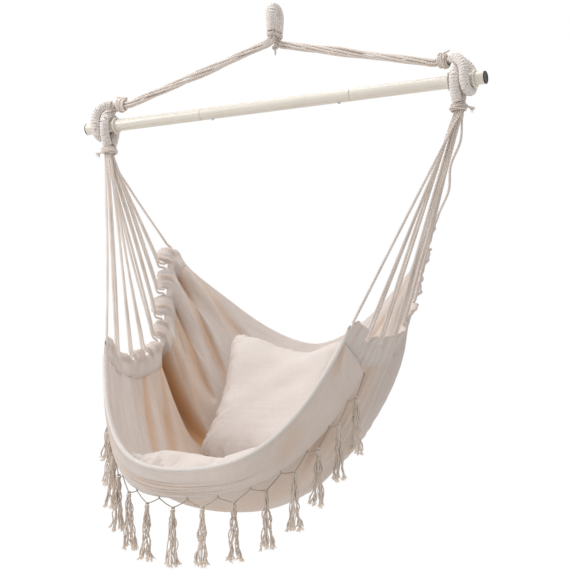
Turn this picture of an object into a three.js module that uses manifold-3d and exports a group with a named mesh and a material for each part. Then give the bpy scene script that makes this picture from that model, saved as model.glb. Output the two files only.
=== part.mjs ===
// Hanging hammock chair: a rope suspension, a sectional steel bar, and a cloth sling with two cushions.
// Frame: +Z up, +X along the bar to the sitter's left, -Y to the front.
// The origin is where a hook bears in the eye.
// Lengths are in millimetres. A name that ends in Share or Shares holds fractions of the sizes that they follow.

import * as THREE from "three";
import { mergeVertices } from "three/addons/utils/BufferGeometryUtils.js";
import Module from "manifold-3d";

// Fits
const CLEARANCE = 0.3;
const END_GAP = 2.6;
const STRAND_GAP = 1.3;
const OVERRUN = 4;
const MERGE_TOLERANCE = 1e-4;

// Spreader bar
const BAR_DROP = 212;
const BAR_LENGTH = 1000;
const TUBE_DIAMETER = 28;
const TUBE_WALL = 1.5;
const MIDDLE_LENGTH = 374;
const SWAGE_LENGTH = 57;
const SHOULDER_LENGTH = 3;
const COLLAR_DIAMETER = 40;
const COLLAR_THICKNESS = 4;
const COLLAR_SLACK = 0.7;
const OUTER_COLLAR_INSET = 24;
const INNER_COLLAR_INSET = 19;
const CAP_THICKNESS = 2.5;
const CAP_PLUG_LENGTH = 14;
const TUBE_SIDES = 18;
const COLLAR_SIDES = 14;

// Snap buttons that lock the tube sections
const BUTTON_DIAMETER = 6;
const BUTTON_PROUD = 3;
const BUTTON_INSET = 28;
const BUTTON_HEAD_DIAMETER = 10;
const BUTTON_HEAD_THICKNESS = 1.5;
const BUTTON_CROWN = 1;
const BUTTON_SIDES = 12;
const SPRING_WIDTH = 6;
const SPRING_THICKNESS = 0.8;
const SPRING_REACH = 28;
const SPRING_PAD = 5;
const SPRING_TOP_GAP = 0.8;

// Served rope eyes: a core, and a flattened cord wound round it
const LIMB_RADIUS = 11;
const CORE_RADIUS = 4.2;
const WRAP_HALF_THICKNESS = 2.4;
const LOWER_WRAP_HALF_WIDTH = 4.2;
const UPPER_WRAP_HALF_WIDTH = 5.4;
const WRAP_LOOPS = 16;
const WRAP_STEPS = 6;
const WRAP_SIDES = 3;
const WRAP_SAMPLES = 400;
const MOST_BEND_SHARE = 0.6;
const CORE_SIDES = 8;
const SERVED_SAMPLES = 60;
const CORE_STEPS = 14;
const CORE_SPREAD = 4.5;

// Hanging eye
const HANGER_LIMB_RADIUS = 12.2;
const HANGER_CORE_RADIUS = 6.8;
const HANGER_WRAP_HALF_THICKNESS = 2.2;
const HANGER_WRAP_HALF_WIDTH = 2.4;
const HANGER_LOOPS = 20;
const HANGER_HALF_GAP = 18.5;
const HANGER_THROAT_HALF_GAP = 12.6;
const HANGER_NECK_HALF_GAP = 15.4;
const HANGER_NECK_DROP = 34;
const HANGER_SERVED_DROP = 44;
const HANGER_CORE_DROP = 52;
const HANGER_CORE_STEPS = 18;

// Throat binding under the hanging eye, with its knot and tail
const BINDING_HEIGHT = 9;
const BINDING_THICKNESS = 3.2;
const BINDING_SLACK = 0.6;
const BAND_SEGMENTS = 5;
const TAIL_DIAMETER = 5;
const KNOT_DIAMETER = 11;
const KNOT_DROP = 80;
const TAIL_DROP = 96;

// Legs: loosely twisted strands from the eye to each end of the bar
const STRANDS = 6;
const STRAND_DIAMETER = 5.4;
const STRAND_RING_RADIUS = 6.5;
const STRAND_SIDES = 8;
const LEG_BEND_RADIUS = 15;
const LEG_STRAIGHT_STEPS = 6;
const LEG_TWIST_TURNS = 0.75;
const LEG_END_INSET = 39;
const LEG_LEVEL_LENGTH = 16;

// Bindings at the ends of the legs and under the lower eyes
const LEG_BINDING_LENGTH = 22;
const LEG_BINDING_COVER = 6;
const BORE_SLACK = 1.5;
const BINDING_WALL = 2.5;
const BINDING_RIDGE = 0.9;
const BINDING_RIDGES = 3;
const BINDING_SIDES = 10;
const SHORT_TAIL_LENGTH = 20;

// Lower eyes, which carry the fans of cord
const LOWER_EYE_INSET = 39;
const LOWER_SERVED_DROP = 43;
const LOWER_CORE_DROP = 54;
const LOWER_ARC_POINTS = 7;
const SEIZING_TOP_DROP = 50;
const SEIZING_LENGTH = 17;
const SEIZING_BORE_RADIUS = 13.7;
const EYE_SLACK = 0.7;
const EYE_SQUEEZE = 0.8;

// Fans of cord: each cord runs down, through one tab of the side hem, and back up
const FAN_CORD_DIAMETER = 4.3;
const FAN_CORD_SIDES = 8;
const FAN_GROUPS = 4;
const LOOPS_PER_GROUP = 2;
const FAN_ROW_PITCH = 4.8;
const FAN_COLUMN_PITCH = 4.6;
const FAN_STUB_HEIGHT = 3;
const FAN_STUB_MARGIN = 0.1;
const NOTCH_HALF_SPREAD = 5.5;
const CORD_BEND = 4;
const CORD_RISE = 17;

// Side hems: a stitched tunnel with a notch between one tab and the next
const HEM_HALF_SPAN = 331;
const HEM_FRONT = 229;
const HEM_BACK = 121;
const HEM_LOW_DROP = 566;
const HEM_RISE = 11;
const HEM_FALL = 16;
const HEM_BORE_RADIUS = 3.7;
const HEM_WALL = 1.8;
const HEM_BORE_SIDES = 6;
const NOTCH_DEPTH = 4.2;
const NOTCH_FLOOR_HALF_WIDTH = 7.5;
const NOTCH_MOUTH_HALF_WIDTH = 14;

// Sling cloth
const CLOTH_THICKNESS = 3;
const RIM_FRONT = 380;
const CLOTH_BACK = 218;
const BOWL_DROP = 904;
const CLOTH_HALF_COLUMNS = 9;
const FOLD_DEPTH = 9;
const FOLD_FADE_POWER = 10;
const STEEP_POWER = 4;

// Front flap
const FLAP_SIDE_INSET = 32;
const FLAP_FRONT = 372;
const FLAP_SIDE_SET_BACK = 182;
const FLAP_DROP = 880;
const FLAP_SIDE_RISE = 246;
const FLAP_ROWS = 4;
const FLAP_HALF_COLUMNS = 10;
const FLAP_GAP = 3.5;
const FLAP_BULGE = 6;
const FLAP_SET_BACK_POWER = 2.6;
const FLAP_TOP_SHARE = 0.93;

// Fringe
const TASSELS = 14;
const TASSEL_LENGTH = 104;
const TASSEL_TOP_RADIUS = 4.5;
const TASSEL_BODY_RADIUS = 7.5;
const TASSEL_TIP_RADIUS = 10;
const TASSEL_SIDES = 5;
const FRINGE_KNOT_DROP = 19;
const FRINGE_KNOT_HEIGHT = 9;
const FRINGE_CORD_DIAMETER = 2.6;
const FRINGE_CORD_SIDES = 8;

// Cushions
const SEAT_THICKNESS = 84;
const PILLOW_THICKNESS = 112;
const SEAM_THICKNESS = 9;
const SEAT_SEAM_LIFT = 6;
const PILLOW_SEAM_LIFT = 22;
const CUSHION_GRID = 10;
const SEAT_LIFT = 4.6;
const PILLOW_LIFT = 3;

// Shares chosen by hand for the shapes that the sizes above scale
const HEM_SPAN_SHARES = [0.873, 0.894, 0.897, 0.915, 0.912, 0.93, 0.955, 0.972, 1.0, 1];
const HEM_REACH_SHARES = [0, 0.16, 0.317, 0.497, 0.665, 0.74, 0.809, 0.858, 0.917, 1];
const HEM_DROP_SHARES = [0.945, 0.991, 1, 0.977, 0.924, 0.862, 0.754, 0.647, 0.535, 0.495];
const PROFILE_REACH_SHARES = [0, 0.05, 0.184, 0.351, 0.535, 0.686, 0.803, 0.911, 1];
const PROFILE_DROP_SHARES = [0.9115, 0.958, 0.991, 1, 0.987, 0.927, 0.816, 0.695, 0.57];
const STEEP_SHARE = 0.7;
const STEEP_FADE_SHARE = 0.8;
const SOFT_START_SHARE = 0.75;
const SOFT_SHARE = 1.2;
const HEM_AXIS_SHARE = 0.97;
const EVEN_REACH_SHARE = 0.4;
const FOLD_PEAK_SHARE = 0.035;
const FRONT_FOLD_SHARE = 0.35;
const FLAP_EDGE_SHARES = [0.3, 0.7];
const HANGER_ARC_SHARES = [0.28, 0.55, 0.85];
const LEG_BEND_SHARES = [0.45, 1];
const LOWER_SHOULDER_SHARES = [0.87, 0.85];
const LOWER_ARC_SHARES = [1.06, -0.06];
const UPPER_REACH_SHARES = [0, 0.2, 0.42, 0.68, 0.89, 1, 1, 1];
const UPPER_SPREAD_SHARES = [1, 1.02, 0.95, 0.7, 0.98, 1.09, 1.07, 0.79];
const UPPER_RISE_SHARES = [1, 1, 1.02, 0.98, 0.74, 0.37, 0.01, -0.38];
const SEAT_ALONG_SHARES = [0.055, 0.43];
const SEAT_ACROSS_SHARES = [0.6, 0.56];
const SEAT_DRAW_SHARE = 0.09;
const PILLOW_ALONG_SHARES = [0.468, 0.872];
const PILLOW_ACROSS_SHARES = [0.565, 0.53];
const PILLOW_DRAW_SHARE = 0.04;
const PILLOW_TILT_SHARE = 0.018;
const PILLOW_ARCH_SHARE = 0.07;
const PILLOW_LEAN_SHARES = [-0.78, 0.63];

const BACK = new THREE.Vector3(0, 1, 0);
const UP = new THREE.Vector3(0, 0, 1);
const OUTBOARD = new THREE.Vector3(1, 0, 0);

const wasm = await Module();
wasm.setup();

// Geometry helpers

function signedVolume(geometry) {
  const place = geometry.getAttribute("position");
  const index = geometry.index;
  const a = new THREE.Vector3();
  const b = new THREE.Vector3();
  const c = new THREE.Vector3();
  let volume = 0;
  for (let i = 0; i < index.count; i += 3) {
    a.fromBufferAttribute(place, index.getX(i));
    b.fromBufferAttribute(place, index.getX(i + 1));
    c.fromBufferAttribute(place, index.getX(i + 2));
    volume += a.dot(b.cross(c)) / 6;
  }
  return volume;
}

// Turns the faces of a closed indexed geometry outwards.
function facingOut(geometry) {
  if (signedVolume(geometry) > 0) {
    return geometry;
  }
  const corners = Array.from(geometry.index.array);
  for (let i = 0; i < corners.length; i += 3) {
    const swapped = corners[i + 1];
    corners[i + 1] = corners[i + 2];
    corners[i + 2] = swapped;
  }
  geometry.setIndex(corners);
  return geometry;
}

// Keeps only the positions, merges the shared ones and turns the faces outwards.
function closed(geometry) {
  const flat = geometry.index ? geometry.toNonIndexed() : geometry;
  const bare = new THREE.BufferGeometry();
  bare.setAttribute("position", flat.getAttribute("position").clone());
  return facingOut(mergeVertices(bare, MERGE_TOLERANCE));
}

function toSolid(geometry) {
  const plain = closed(geometry);
  const mesh = new wasm.Mesh({
    numProp: 3,
    vertProperties: new Float32Array(plain.getAttribute("position").array),
    triVerts: new Uint32Array(plain.index.array),
  });
  return new wasm.Manifold(mesh);
}

function toGeometry(solid) {
  const mesh = solid.getMesh();
  const geometry = new THREE.BufferGeometry();
  geometry.setAttribute("position", new THREE.BufferAttribute(mesh.vertProperties, 3));
  geometry.setIndex(new THREE.BufferAttribute(mesh.triVerts, 1));
  return geometry;
}

function joined(geometries) {
  return toGeometry(geometries.map(toSolid).reduce((whole, piece) => whole.add(piece)));
}

function cutBy(geometry, cutters) {
  const whole = toSolid(geometry);
  return toGeometry(cutters.map(toSolid).reduce((rest, cutter) => rest.subtract(cutter), whole));
}

function mirrored(geometry) {
  return closed(geometry.clone().scale(-1, 1, 1));
}

// A closed solid through rings of points, capped flat at both ends.
function skinned(rings) {
  const count = rings[0].length;
  const geometry = new THREE.BufferGeometry().setFromPoints(rings.flat());
  const index = [];
  for (let r = 0; r + 1 < rings.length; r += 1) {
    for (let k = 0; k < count; k += 1) {
      const near = r * count + k;
      const next = r * count + ((k + 1) % count);
      index.push(near, next, next + count, near, next + count, near + count);
    }
  }
  const last = (rings.length - 1) * count;
  for (let k = 1; k + 1 < count; k += 1) {
    index.push(0, k + 1, k, last, last + k, last + k + 1);
  }
  geometry.setIndex(index);
  return facingOut(geometry);
}

function tangentAt(stations, i) {
  const before = stations[Math.max(i - 1, 0)];
  const after = stations[Math.min(i + 1, stations.length - 1)];
  return after.clone().sub(before).normalize();
}

// Carries a pair of axes along the stations without twist.
function framesAlong(stations, start) {
  let normal = start.clone();
  return stations.map((_, i) => {
    const tangent = tangentAt(stations, i);
    normal = normal.clone().addScaledVector(tangent, -normal.dot(tangent)).normalize();
    return { tangent, normal, side: new THREE.Vector3().crossVectors(tangent, normal) };
  });
}

function offsetPoint(station, frame, alongNormal, alongSide) {
  return station
    .clone()
    .addScaledVector(frame.normal, alongNormal)
    .addScaledVector(frame.side, alongSide);
}

function ringPoints(station, frame, radius, sides) {
  return Array.from({ length: sides }, (_, k) => {
    const angle = (2 * Math.PI * k) / sides;
    return offsetPoint(station, frame, radius * Math.cos(angle), radius * Math.sin(angle));
  });
}

// A cord of round section through the stations of its route.
function cordSolid(stations, diameter, sides, start = BACK) {
  const frames = framesAlong(stations, start);
  return skinned(stations.map((station, i) => ringPoints(station, frames[i], diameter / 2, sides)));
}

// A turned solid whose profile is a list of [radius, height] pairs, its axis laid along X.
function turnedAlongX(profile, sides) {
  const points = profile.map(([radius, height]) => new THREE.Vector2(radius, height));
  return closed(new THREE.LatheGeometry(points, sides).rotateZ(-Math.PI / 2));
}

function cylinderAt(radius, length, sides, centre, direction) {
  const turn = new THREE.Quaternion().setFromUnitVectors(BACK, direction.clone().normalize());
  const geometry = new THREE.CylinderGeometry(radius, radius, length, sides);
  return closed(geometry.applyQuaternion(turn).translate(centre.x, centre.y, centre.z));
}

// Materials

function material(color, roughness, metalness = 0) {
  return new THREE.MeshStandardMaterial({ color, roughness, metalness });
}

const rope = () => material(0xddd5cc, 0.95);
const servingCord = () => material(0xe2dad2, 0.95);
const cloth = () => material(0xd8cec4, 0.97);
const cushionCloth = () => material(0xe4dcd3, 0.97);
const fringeYarn = () => material(0xb9aa9b, 0.98);
const enamel = () => material(0xe3dfcf, 0.3, 0.1);
const blackPlastic = () => material(0x1c1c1c, 0.5);
const springSteel = () => material(0xa8a8a8, 0.35, 0.9);

function piece(group, name, geometry, finish) {
  const mesh = new THREE.Mesh(geometry, finish);
  mesh.name = name;
  group.add(mesh);
  return mesh;
}

// Adds a piece made for the right-hand end, and its mirror image for the left-hand end.
function pair(group, name, geometry, finish) {
  piece(group, `right_${name}`, geometry, finish());
  piece(group, `left_${name}`, mirrored(geometry), finish());
}

// Windings

// The width of turn that fits where the core bends: the inner side of a bend is shorter than its centre line.
function bendShare(stations, i, radius) {
  if (i === 0 || i === stations.length - 1) {
    return 1;
  }
  const before = stations[i].clone().sub(stations[i - 1]);
  const after = stations[i + 1].clone().sub(stations[i]);
  const turn = before.angleTo(after);
  const length = (before.length() + after.length()) / 2;
  return 1 - Math.min((turn / length) * radius, MOST_BEND_SHARE);
}

// One unbroken flattened cord wound in loops round the route of an eye's core.
function servingRings(route, loops, windRadius, halfThickness, halfWidth) {
  const stations = route.getSpacedPoints(WRAP_SAMPLES);
  const frames = framesAlong(stations, OUTBOARD);
  const turned = [0];
  for (let i = 1; i <= WRAP_SAMPLES; i += 1) {
    turned.push(turned[i - 1] + bendShare(stations, i, windRadius));
  }
  const steps = loops * WRAP_STEPS;
  const rings = [];
  let at = 0;
  for (let step = 0; step <= steps; step += 1) {
    const wanted = (turned[WRAP_SAMPLES] * step) / steps;
    while (at < WRAP_SAMPLES - 1 && turned[at + 1] < wanted) {
      at += 1;
    }
    const share = THREE.MathUtils.clamp((wanted - turned[at]) / (turned[at + 1] - turned[at]), 0, 1);
    const station = stations[at].clone().lerp(stations[at + 1], share);
    const angle = (2 * Math.PI * step) / WRAP_STEPS;
    const radial = offsetPoint(new THREE.Vector3(), frames[at], Math.cos(angle), Math.sin(angle));
    const centre = station.clone().addScaledVector(radial, windRadius);
    rings.push(
      Array.from({ length: WRAP_SIDES }, (_, k) => {
        const corner = (2 * Math.PI * k) / WRAP_SIDES;
        return centre
          .clone()
          .addScaledVector(radial, halfThickness * Math.cos(corner))
          .addScaledVector(frames[at].tangent, halfWidth * Math.sin(corner));
      }),
    );
  }
  return rings;
}

// The least distance between the surface points of one turn and those of the next.
function leastGap(rings) {
  let least = Infinity;
  for (let i = 0; i < rings.length; i += 1) {
    for (let j = i + WRAP_STEPS - 1; j < rings.length; j += 1) {
      for (const a of rings[i]) {
        for (const b of rings[j]) {
          least = Math.min(least, a.distanceTo(b));
        }
      }
    }
  }
  return least;
}

function serving(name, route, loops, windRadius, halfThickness, halfWidth) {
  const rings = servingRings(route, loops, windRadius, halfThickness, halfWidth);
  console.log(`${name}: ${loops} loops, least gap to itself ${leastGap(rings).toFixed(2)} mm`);
  return skinned(rings);
}

// A bound collar with rounded ridges, its axis along X, from start to start plus length.
function boundCollar(bore, wall, length, start) {
  const profile = [[bore, start]];
  for (let ridge = 0; ridge < BINDING_RIDGES; ridge += 1) {
    const from = start + (length * ridge) / BINDING_RIDGES;
    const middle = from + length / (2 * BINDING_RIDGES);
    profile.push([bore + wall - BINDING_RIDGE, from], [bore + wall, middle]);
  }
  profile.push([bore + wall - BINDING_RIDGE, start + length], [bore, start + length], [bore, start]);
  return turnedAlongX(profile, BINDING_SIDES);
}

// Hanging eye

function hangerHalfPoints(sign) {
  const arcTop = HANGER_LIMB_RADIUS;
  const arcCentre = arcTop - HANGER_HALF_GAP;
  const arc = HANGER_ARC_SHARES.map((share) => {
    const angle = (Math.PI / 2) * (1 - share);
    const y = sign * HANGER_HALF_GAP * Math.cos(angle);
    return new THREE.Vector3(0, y, arcCentre + HANGER_HALF_GAP * Math.sin(angle));
  });
  return [
    ...arc,
    new THREE.Vector3(0, sign * HANGER_HALF_GAP, arcCentre),
    new THREE.Vector3(0, sign * HANGER_NECK_HALF_GAP, -HANGER_NECK_DROP),
  ];
}

function hangerRoute() {
  const front = hangerHalfPoints(-1);
  const back = hangerHalfPoints(1);
  const start = new THREE.Vector3(0, -HANGER_THROAT_HALF_GAP, -HANGER_CORE_DROP);
  const end = new THREE.Vector3(0, HANGER_THROAT_HALF_GAP, -HANGER_CORE_DROP);
  const top = new THREE.Vector3(0, 0, HANGER_LIMB_RADIUS);
  return new THREE.CatmullRomCurve3(
    [start, ...front.reverse(), top, ...back, end],
    false,
    "centripetal",
  );
}

const strandReach = STRAND_RING_RADIUS + STRAND_DIAMETER / 2;

function throatBinding() {
  const innerX = strandReach + BINDING_SLACK;
  const innerY = HANGER_THROAT_HALF_GAP;
  const outline = new THREE.Shape();
  const outer = innerX + BINDING_THICKNESS;
  outline.absarc(0, innerY, outer, 0, Math.PI);
  outline.absarc(0, -innerY, outer, Math.PI, 2 * Math.PI);
  const hole = new THREE.Path();
  hole.absarc(0, innerY, innerX, 0, Math.PI);
  hole.absarc(0, -innerY, innerX, Math.PI, 2 * Math.PI);
  outline.holes.push(hole);
  const band = new THREE.ExtrudeGeometry(outline, {
    depth: BINDING_HEIGHT,
    bevelEnabled: false,
    curveSegments: BAND_SEGMENTS,
  });
  const bandBottom = HANGER_CORE_DROP + BINDING_HEIGHT / 2;
  band.translate(0, 0, -bandBottom);
  const crossing = new THREE.Vector3(0, 0, -HANGER_CORE_DROP);
  const bridge = cylinderAt(
    TAIL_DIAMETER / 2,
    2 * (innerX + BINDING_THICKNESS / 2),
    STRAND_SIDES,
    crossing,
    OUTBOARD,
  );
  const knotCentre = new THREE.Vector3(0, 0, -KNOT_DROP);
  const tail = cordSolid(
    [
      crossing,
      new THREE.Vector3(0, 0, -(HANGER_CORE_DROP + KNOT_DROP) / 2),
      knotCentre,
      new THREE.Vector3(TAIL_DIAMETER / 4, 0, -TAIL_DROP),
    ],
    TAIL_DIAMETER,
    STRAND_SIDES,
  );
  const knot = new THREE.SphereGeometry(KNOT_DIAMETER / 2, STRAND_SIDES, STRAND_SIDES / 2);
  knot.rotateX(Math.PI / 2).translate(knotCentre.x, knotCentre.y, knotCentre.z);
  return joined([band, bridge, tail, knot]);
}

// Places round the bar that the eyes share

const tubeRadius = TUBE_DIAMETER / 2;
const ringRadius = tubeRadius + LIMB_RADIUS - EYE_SQUEEZE;
const overRadius = ringRadius + 2 * LIMB_RADIUS + EYE_SLACK;
const outerCollarPlace = BAR_LENGTH / 2 - OUTER_COLLAR_INSET;
const lowerEyePlace = outerCollarPlace - LOWER_EYE_INSET;
const innerCollarPlace = lowerEyePlace - INNER_COLLAR_INSET;
const legEndPlace = lowerEyePlace - LEG_END_INSET;
const upperEyePlace = lowerEyePlace + 2 * LIMB_RADIUS + EYE_SLACK;
const legEndHeight = overRadius - BAR_DROP;
const windRadius = LIMB_RADIUS - WRAP_HALF_THICKNESS;

// Legs

// The centre line of the right-hand leg, with its angle of twist at each station.
function legLine() {
  const y = HANGER_THROAT_HALF_GAP;
  const startDrop = HANGER_CORE_DROP + STRAND_GAP;
  const bendDrop = HANGER_CORE_DROP + BINDING_HEIGHT / 2 + CLEARANCE;
  const end = legEndPlace - STRAND_GAP;
  const level = end - LEG_LEVEL_LENGTH;
  const slope = Math.atan2(-bendDrop - LEG_BEND_RADIUS - legEndHeight, level);
  const bend = LEG_BEND_SHARES.map((share) => {
    const turn = share * (Math.PI / 2 - slope);
    const x = LEG_BEND_RADIUS * (1 - Math.cos(turn));
    return new THREE.Vector3(x, y, -bendDrop - LEG_BEND_RADIUS * Math.sin(turn));
  });
  const from = bend[bend.length - 1];
  const to = new THREE.Vector3(level, 0, legEndHeight);
  const stations = [
    new THREE.Vector3(0, y, -startDrop),
    new THREE.Vector3(0, y, -bendDrop),
    ...bend,
  ];
  const twists = stations.map(() => 0);
  for (let step = 1; step <= LEG_STRAIGHT_STEPS; step += 1) {
    const share = step / LEG_STRAIGHT_STEPS;
    stations.push(from.clone().lerp(to, share));
    twists.push(2 * Math.PI * LEG_TWIST_TURNS * share);
  }
  stations.push(new THREE.Vector3(end, 0, legEndHeight));
  twists.push(twists[twists.length - 1]);
  return { stations, twists };
}

function legStrand(line, place) {
  const frames = framesAlong(line.stations, BACK);
  const route = line.stations.map((station, i) => {
    const angle = place + line.twists[i];
    return offsetPoint(
      station,
      frames[i],
      STRAND_RING_RADIUS * Math.cos(angle),
      STRAND_RING_RADIUS * Math.sin(angle),
    );
  });
  return cordSolid(route, STRAND_DIAMETER, STRAND_SIDES);
}

// Turns a right-hand piece half round the upright axis, for the leg that leaves the other limb of the eye.
function turnedRound(geometry) {
  return closed(geometry.clone().rotateZ(Math.PI));
}

// Upper eyes

// Half of the loop that hangs the bar, from the binding over the lower eye and down round the tube.
function upperHalf(sign) {
  const reach = upperEyePlace - legEndPlace;
  const spreads = [CORE_SPREAD, CORE_SPREAD, LIMB_RADIUS];
  return UPPER_SPREAD_SHARES.map((spreadShare, i) => {
    const x = legEndPlace + reach * UPPER_REACH_SHARES[i];
    const spread = (spreads[i] ?? ringRadius) * spreadShare;
    return new THREE.Vector3(x, sign * spread, overRadius * UPPER_RISE_SHARES[i]);
  });
}

// The limbs of the upper eye can be served where they no longer lie side by side.
function isUpperServed(point) {
  return Math.abs(point.y) > LIMB_RADIUS + EYE_SLACK / 2 || point.z < 0;
}

function upperPoints() {
  const bottom = new THREE.Vector3(upperEyePlace, 0, -ringRadius);
  return [...upperHalf(-1), bottom, ...upperHalf(1).reverse()];
}

function upperRoute() {
  return new THREE.CatmullRomCurve3(upperPoints(), false, "centripetal");
}

// The stretch of a route where its two limbs lie far enough apart to be served.
function servedStretch(route, isServed) {
  const served = route.getSpacedPoints(SERVED_SAMPLES).filter(isServed);
  return new THREE.CatmullRomCurve3(served, false, "centripetal");
}

function legBinding() {
  const bore = STRAND_RING_RADIUS + STRAND_DIAMETER / 2 + BORE_SLACK;
  const start = legEndPlace - LEG_BINDING_COVER;
  const collar = boundCollar(bore, BINDING_WALL, LEG_BINDING_LENGTH - LEG_BINDING_COVER, start);
  const root = bore + BINDING_WALL / 2;
  const middle = start + LEG_BINDING_LENGTH / 3;
  const tail = cordSolid(
    [
      new THREE.Vector3(middle, 0, root),
      new THREE.Vector3(middle + SHORT_TAIL_LENGTH / 4, 0, root + SHORT_TAIL_LENGTH / 3),
      new THREE.Vector3(middle + SHORT_TAIL_LENGTH, 0, root + SHORT_TAIL_LENGTH / 2),
    ],
    TAIL_DIAMETER,
    STRAND_SIDES,
  );
  return joined([collar, tail]).translate(0, 0, overRadius);
}

// Lower eyes

function lowerRoute() {
  const bareSpread = LIMB_RADIUS + EYE_SLACK;
  const [shoulderSpread, shoulderDrop] = LOWER_SHOULDER_SHARES.map((share) => share * ringRadius);
  const half = (sign) => [
    new THREE.Vector3(lowerEyePlace, sign * CORE_SPREAD, -LOWER_CORE_DROP),
    new THREE.Vector3(lowerEyePlace, sign * bareSpread, -LOWER_SERVED_DROP),
    new THREE.Vector3(lowerEyePlace, sign * shoulderSpread, -shoulderDrop),
  ];
  const arc = Array.from({ length: LOWER_ARC_POINTS }, (_, k) => {
    const angle = Math.PI * THREE.MathUtils.lerp(...LOWER_ARC_SHARES, k / (LOWER_ARC_POINTS - 1));
    return new THREE.Vector3(
      lowerEyePlace,
      ringRadius * Math.cos(angle),
      ringRadius * Math.sin(angle),
    );
  });
  const points = [...half(-1), ...arc, ...half(1).reverse()];
  return new THREE.CatmullRomCurve3(points, false, "centripetal");
}

function fanSeizing() {
  const collar = boundCollar(SEIZING_BORE_RADIUS, BINDING_WALL, SEIZING_LENGTH, 0);
  collar.rotateY(Math.PI / 2);
  const root = SEIZING_BORE_RADIUS + BINDING_WALL / 2;
  const middle = -SEIZING_LENGTH / 2;
  const tail = cordSolid(
    [
      new THREE.Vector3(root, 0, middle),
      new THREE.Vector3(root + SHORT_TAIL_LENGTH / 2, 0, middle),
      new THREE.Vector3(root + SHORT_TAIL_LENGTH, 0, middle - SHORT_TAIL_LENGTH / 3),
    ],
    TAIL_DIAMETER,
    STRAND_SIDES,
  );
  return joined([collar, tail]).translate(lowerEyePlace, 0, -SEIZING_TOP_DROP);
}

// Sling surface, for the right-hand half; distances run down from the bar's axis

const tabs = FAN_GROUPS * LOOPS_PER_GROUP;
const hemStations = 2 * tabs;

const hemCurve = new THREE.CatmullRomCurve3(
  HEM_SPAN_SHARES.map((span, i) => {
    const y = -HEM_FRONT + HEM_REACH_SHARES[i] * (HEM_FRONT + HEM_BACK);
    return new THREE.Vector3(span * HEM_HALF_SPAN, y, -HEM_DROP_SHARES[i] * HEM_LOW_DROP);
  }),
  false,
  "centripetal",
);

const profileCurve = new THREE.CatmullRomCurve3(
  PROFILE_REACH_SHARES.map((reach, i) => {
    const y = -RIM_FRONT + reach * (RIM_FRONT + CLOTH_BACK);
    return new THREE.Vector3(0, y, -PROFILE_DROP_SHARES[i] * BOWL_DROP);
  }),
  false,
  "centripetal",
);

// How far a cross line of the cloth has risen towards its edge.
// At the front corners the cloth hangs nearly straight down.
function riseShare(across, along) {
  const steep = Math.max(STEEP_SHARE - STEEP_FADE_SHARE * along, 0);
  const soft = Math.max(along - SOFT_START_SHARE, 0) * SOFT_SHARE;
  return (1 - steep) * across ** (2 - soft) + steep * across ** STEEP_POWER;
}

function reachShare(across, along) {
  return across ** (3 - along);
}

function crossLine(edge, centre, across, along) {
  return new THREE.Vector3(
    edge.x * across,
    THREE.MathUtils.lerp(centre.y, edge.y, reachShare(across, along)),
    THREE.MathUtils.lerp(centre.z, edge.z, riseShare(across, along)),
  );
}

// Axes of the hem: along it, up out of the cloth, and square to the cloth.
function hemFrame(along) {
  const edge = hemCurve.getPointAt(along);
  const centre = profileCurve.getPointAt(along);
  const inward = crossLine(edge, centre, HEM_AXIS_SHARE, along).sub(edge);
  const tangent = hemCurve.getTangentAt(along);
  const up = inward.addScaledVector(tangent, -inward.dot(tangent)).normalize().negate();
  return { edge, centre, tangent, up, square: new THREE.Vector3().crossVectors(tangent, up) };
}

const hemFrames = Array.from({ length: hemStations + 1 }, (_, i) => hemFrame(i / hemStations));

function clothPoint(across, along) {
  const frame = hemFrame(along);
  const edge = frame.edge.clone().addScaledVector(frame.up, -(HEM_FALL + CLEARANCE));
  const point = crossLine(edge, frame.centre, Math.abs(across), along);
  point.x *= Math.sign(across);
  return point;
}

// Spreads the columns evenly over a cross line that steepens towards its ends.
function evenAcross(share) {
  const reach = Math.PI * EVEN_REACH_SHARE;
  return Math.sin(share * reach) / Math.sin(reach);
}

// Folds run in from the notches and fade before they reach the seat.
function foldDepth(across, row) {
  const near = Math.abs(across);
  const fade = (near ** FOLD_FADE_POWER * (1 - near)) / FOLD_PEAK_SHARE;
  const backward = THREE.MathUtils.lerp(FRONT_FOLD_SHARE, 1, row / hemStations);
  return FOLD_DEPTH * backward * fade * (row % 2 === 0 ? -1 : 1);
}

// A thin closed solid about a grid of points, half its thickness to each side along the normals.
function sheetSolid(grid, normals, thickness) {
  const rows = grid.length;
  const columns = grid[0].length;
  const layer = (offset) =>
    grid.flatMap((line, r) =>
      line.map((point, c) => point.clone().addScaledVector(normals[r][c], offset)),
    );
  const points = [...layer(thickness / 2), ...layer(-thickness / 2)];
  const under = rows * columns;
  const index = [];
  for (let r = 0; r + 1 < rows; r += 1) {
    for (let c = 0; c + 1 < columns; c += 1) {
      const a = r * columns + c;
      const b = a + 1;
      const d = a + columns;
      const e = d + 1;
      index.push(a, b, e, a, e, d);
      index.push(a + under, e + under, b + under, a + under, d + under, e + under);
    }
  }
  const wall = (a, b) => {
    index.push(b, a, a + under, b, a + under, b + under);
  };
  for (let c = 0; c + 1 < columns; c += 1) {
    wall(c, c + 1);
    wall((rows - 1) * columns + c + 1, (rows - 1) * columns + c);
  }
  for (let r = 0; r + 1 < rows; r += 1) {
    wall((r + 1) * columns, r * columns);
    wall((r + 1) * columns - 1, (r + 2) * columns - 1);
  }
  const geometry = new THREE.BufferGeometry().setFromPoints(points);
  geometry.setIndex(index);
  return facingOut(geometry);
}

function gridNormals(grid) {
  return grid.map((line, r) =>
    line.map((_, c) => {
      const across = line[Math.min(c + 1, line.length - 1)].clone().sub(line[Math.max(c - 1, 0)]);
      const ahead = grid[Math.min(r + 1, grid.length - 1)][c].clone();
      const along = ahead.sub(grid[Math.max(r - 1, 0)][c]);
      return across.cross(along).normalize();
    }),
  );
}

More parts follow.
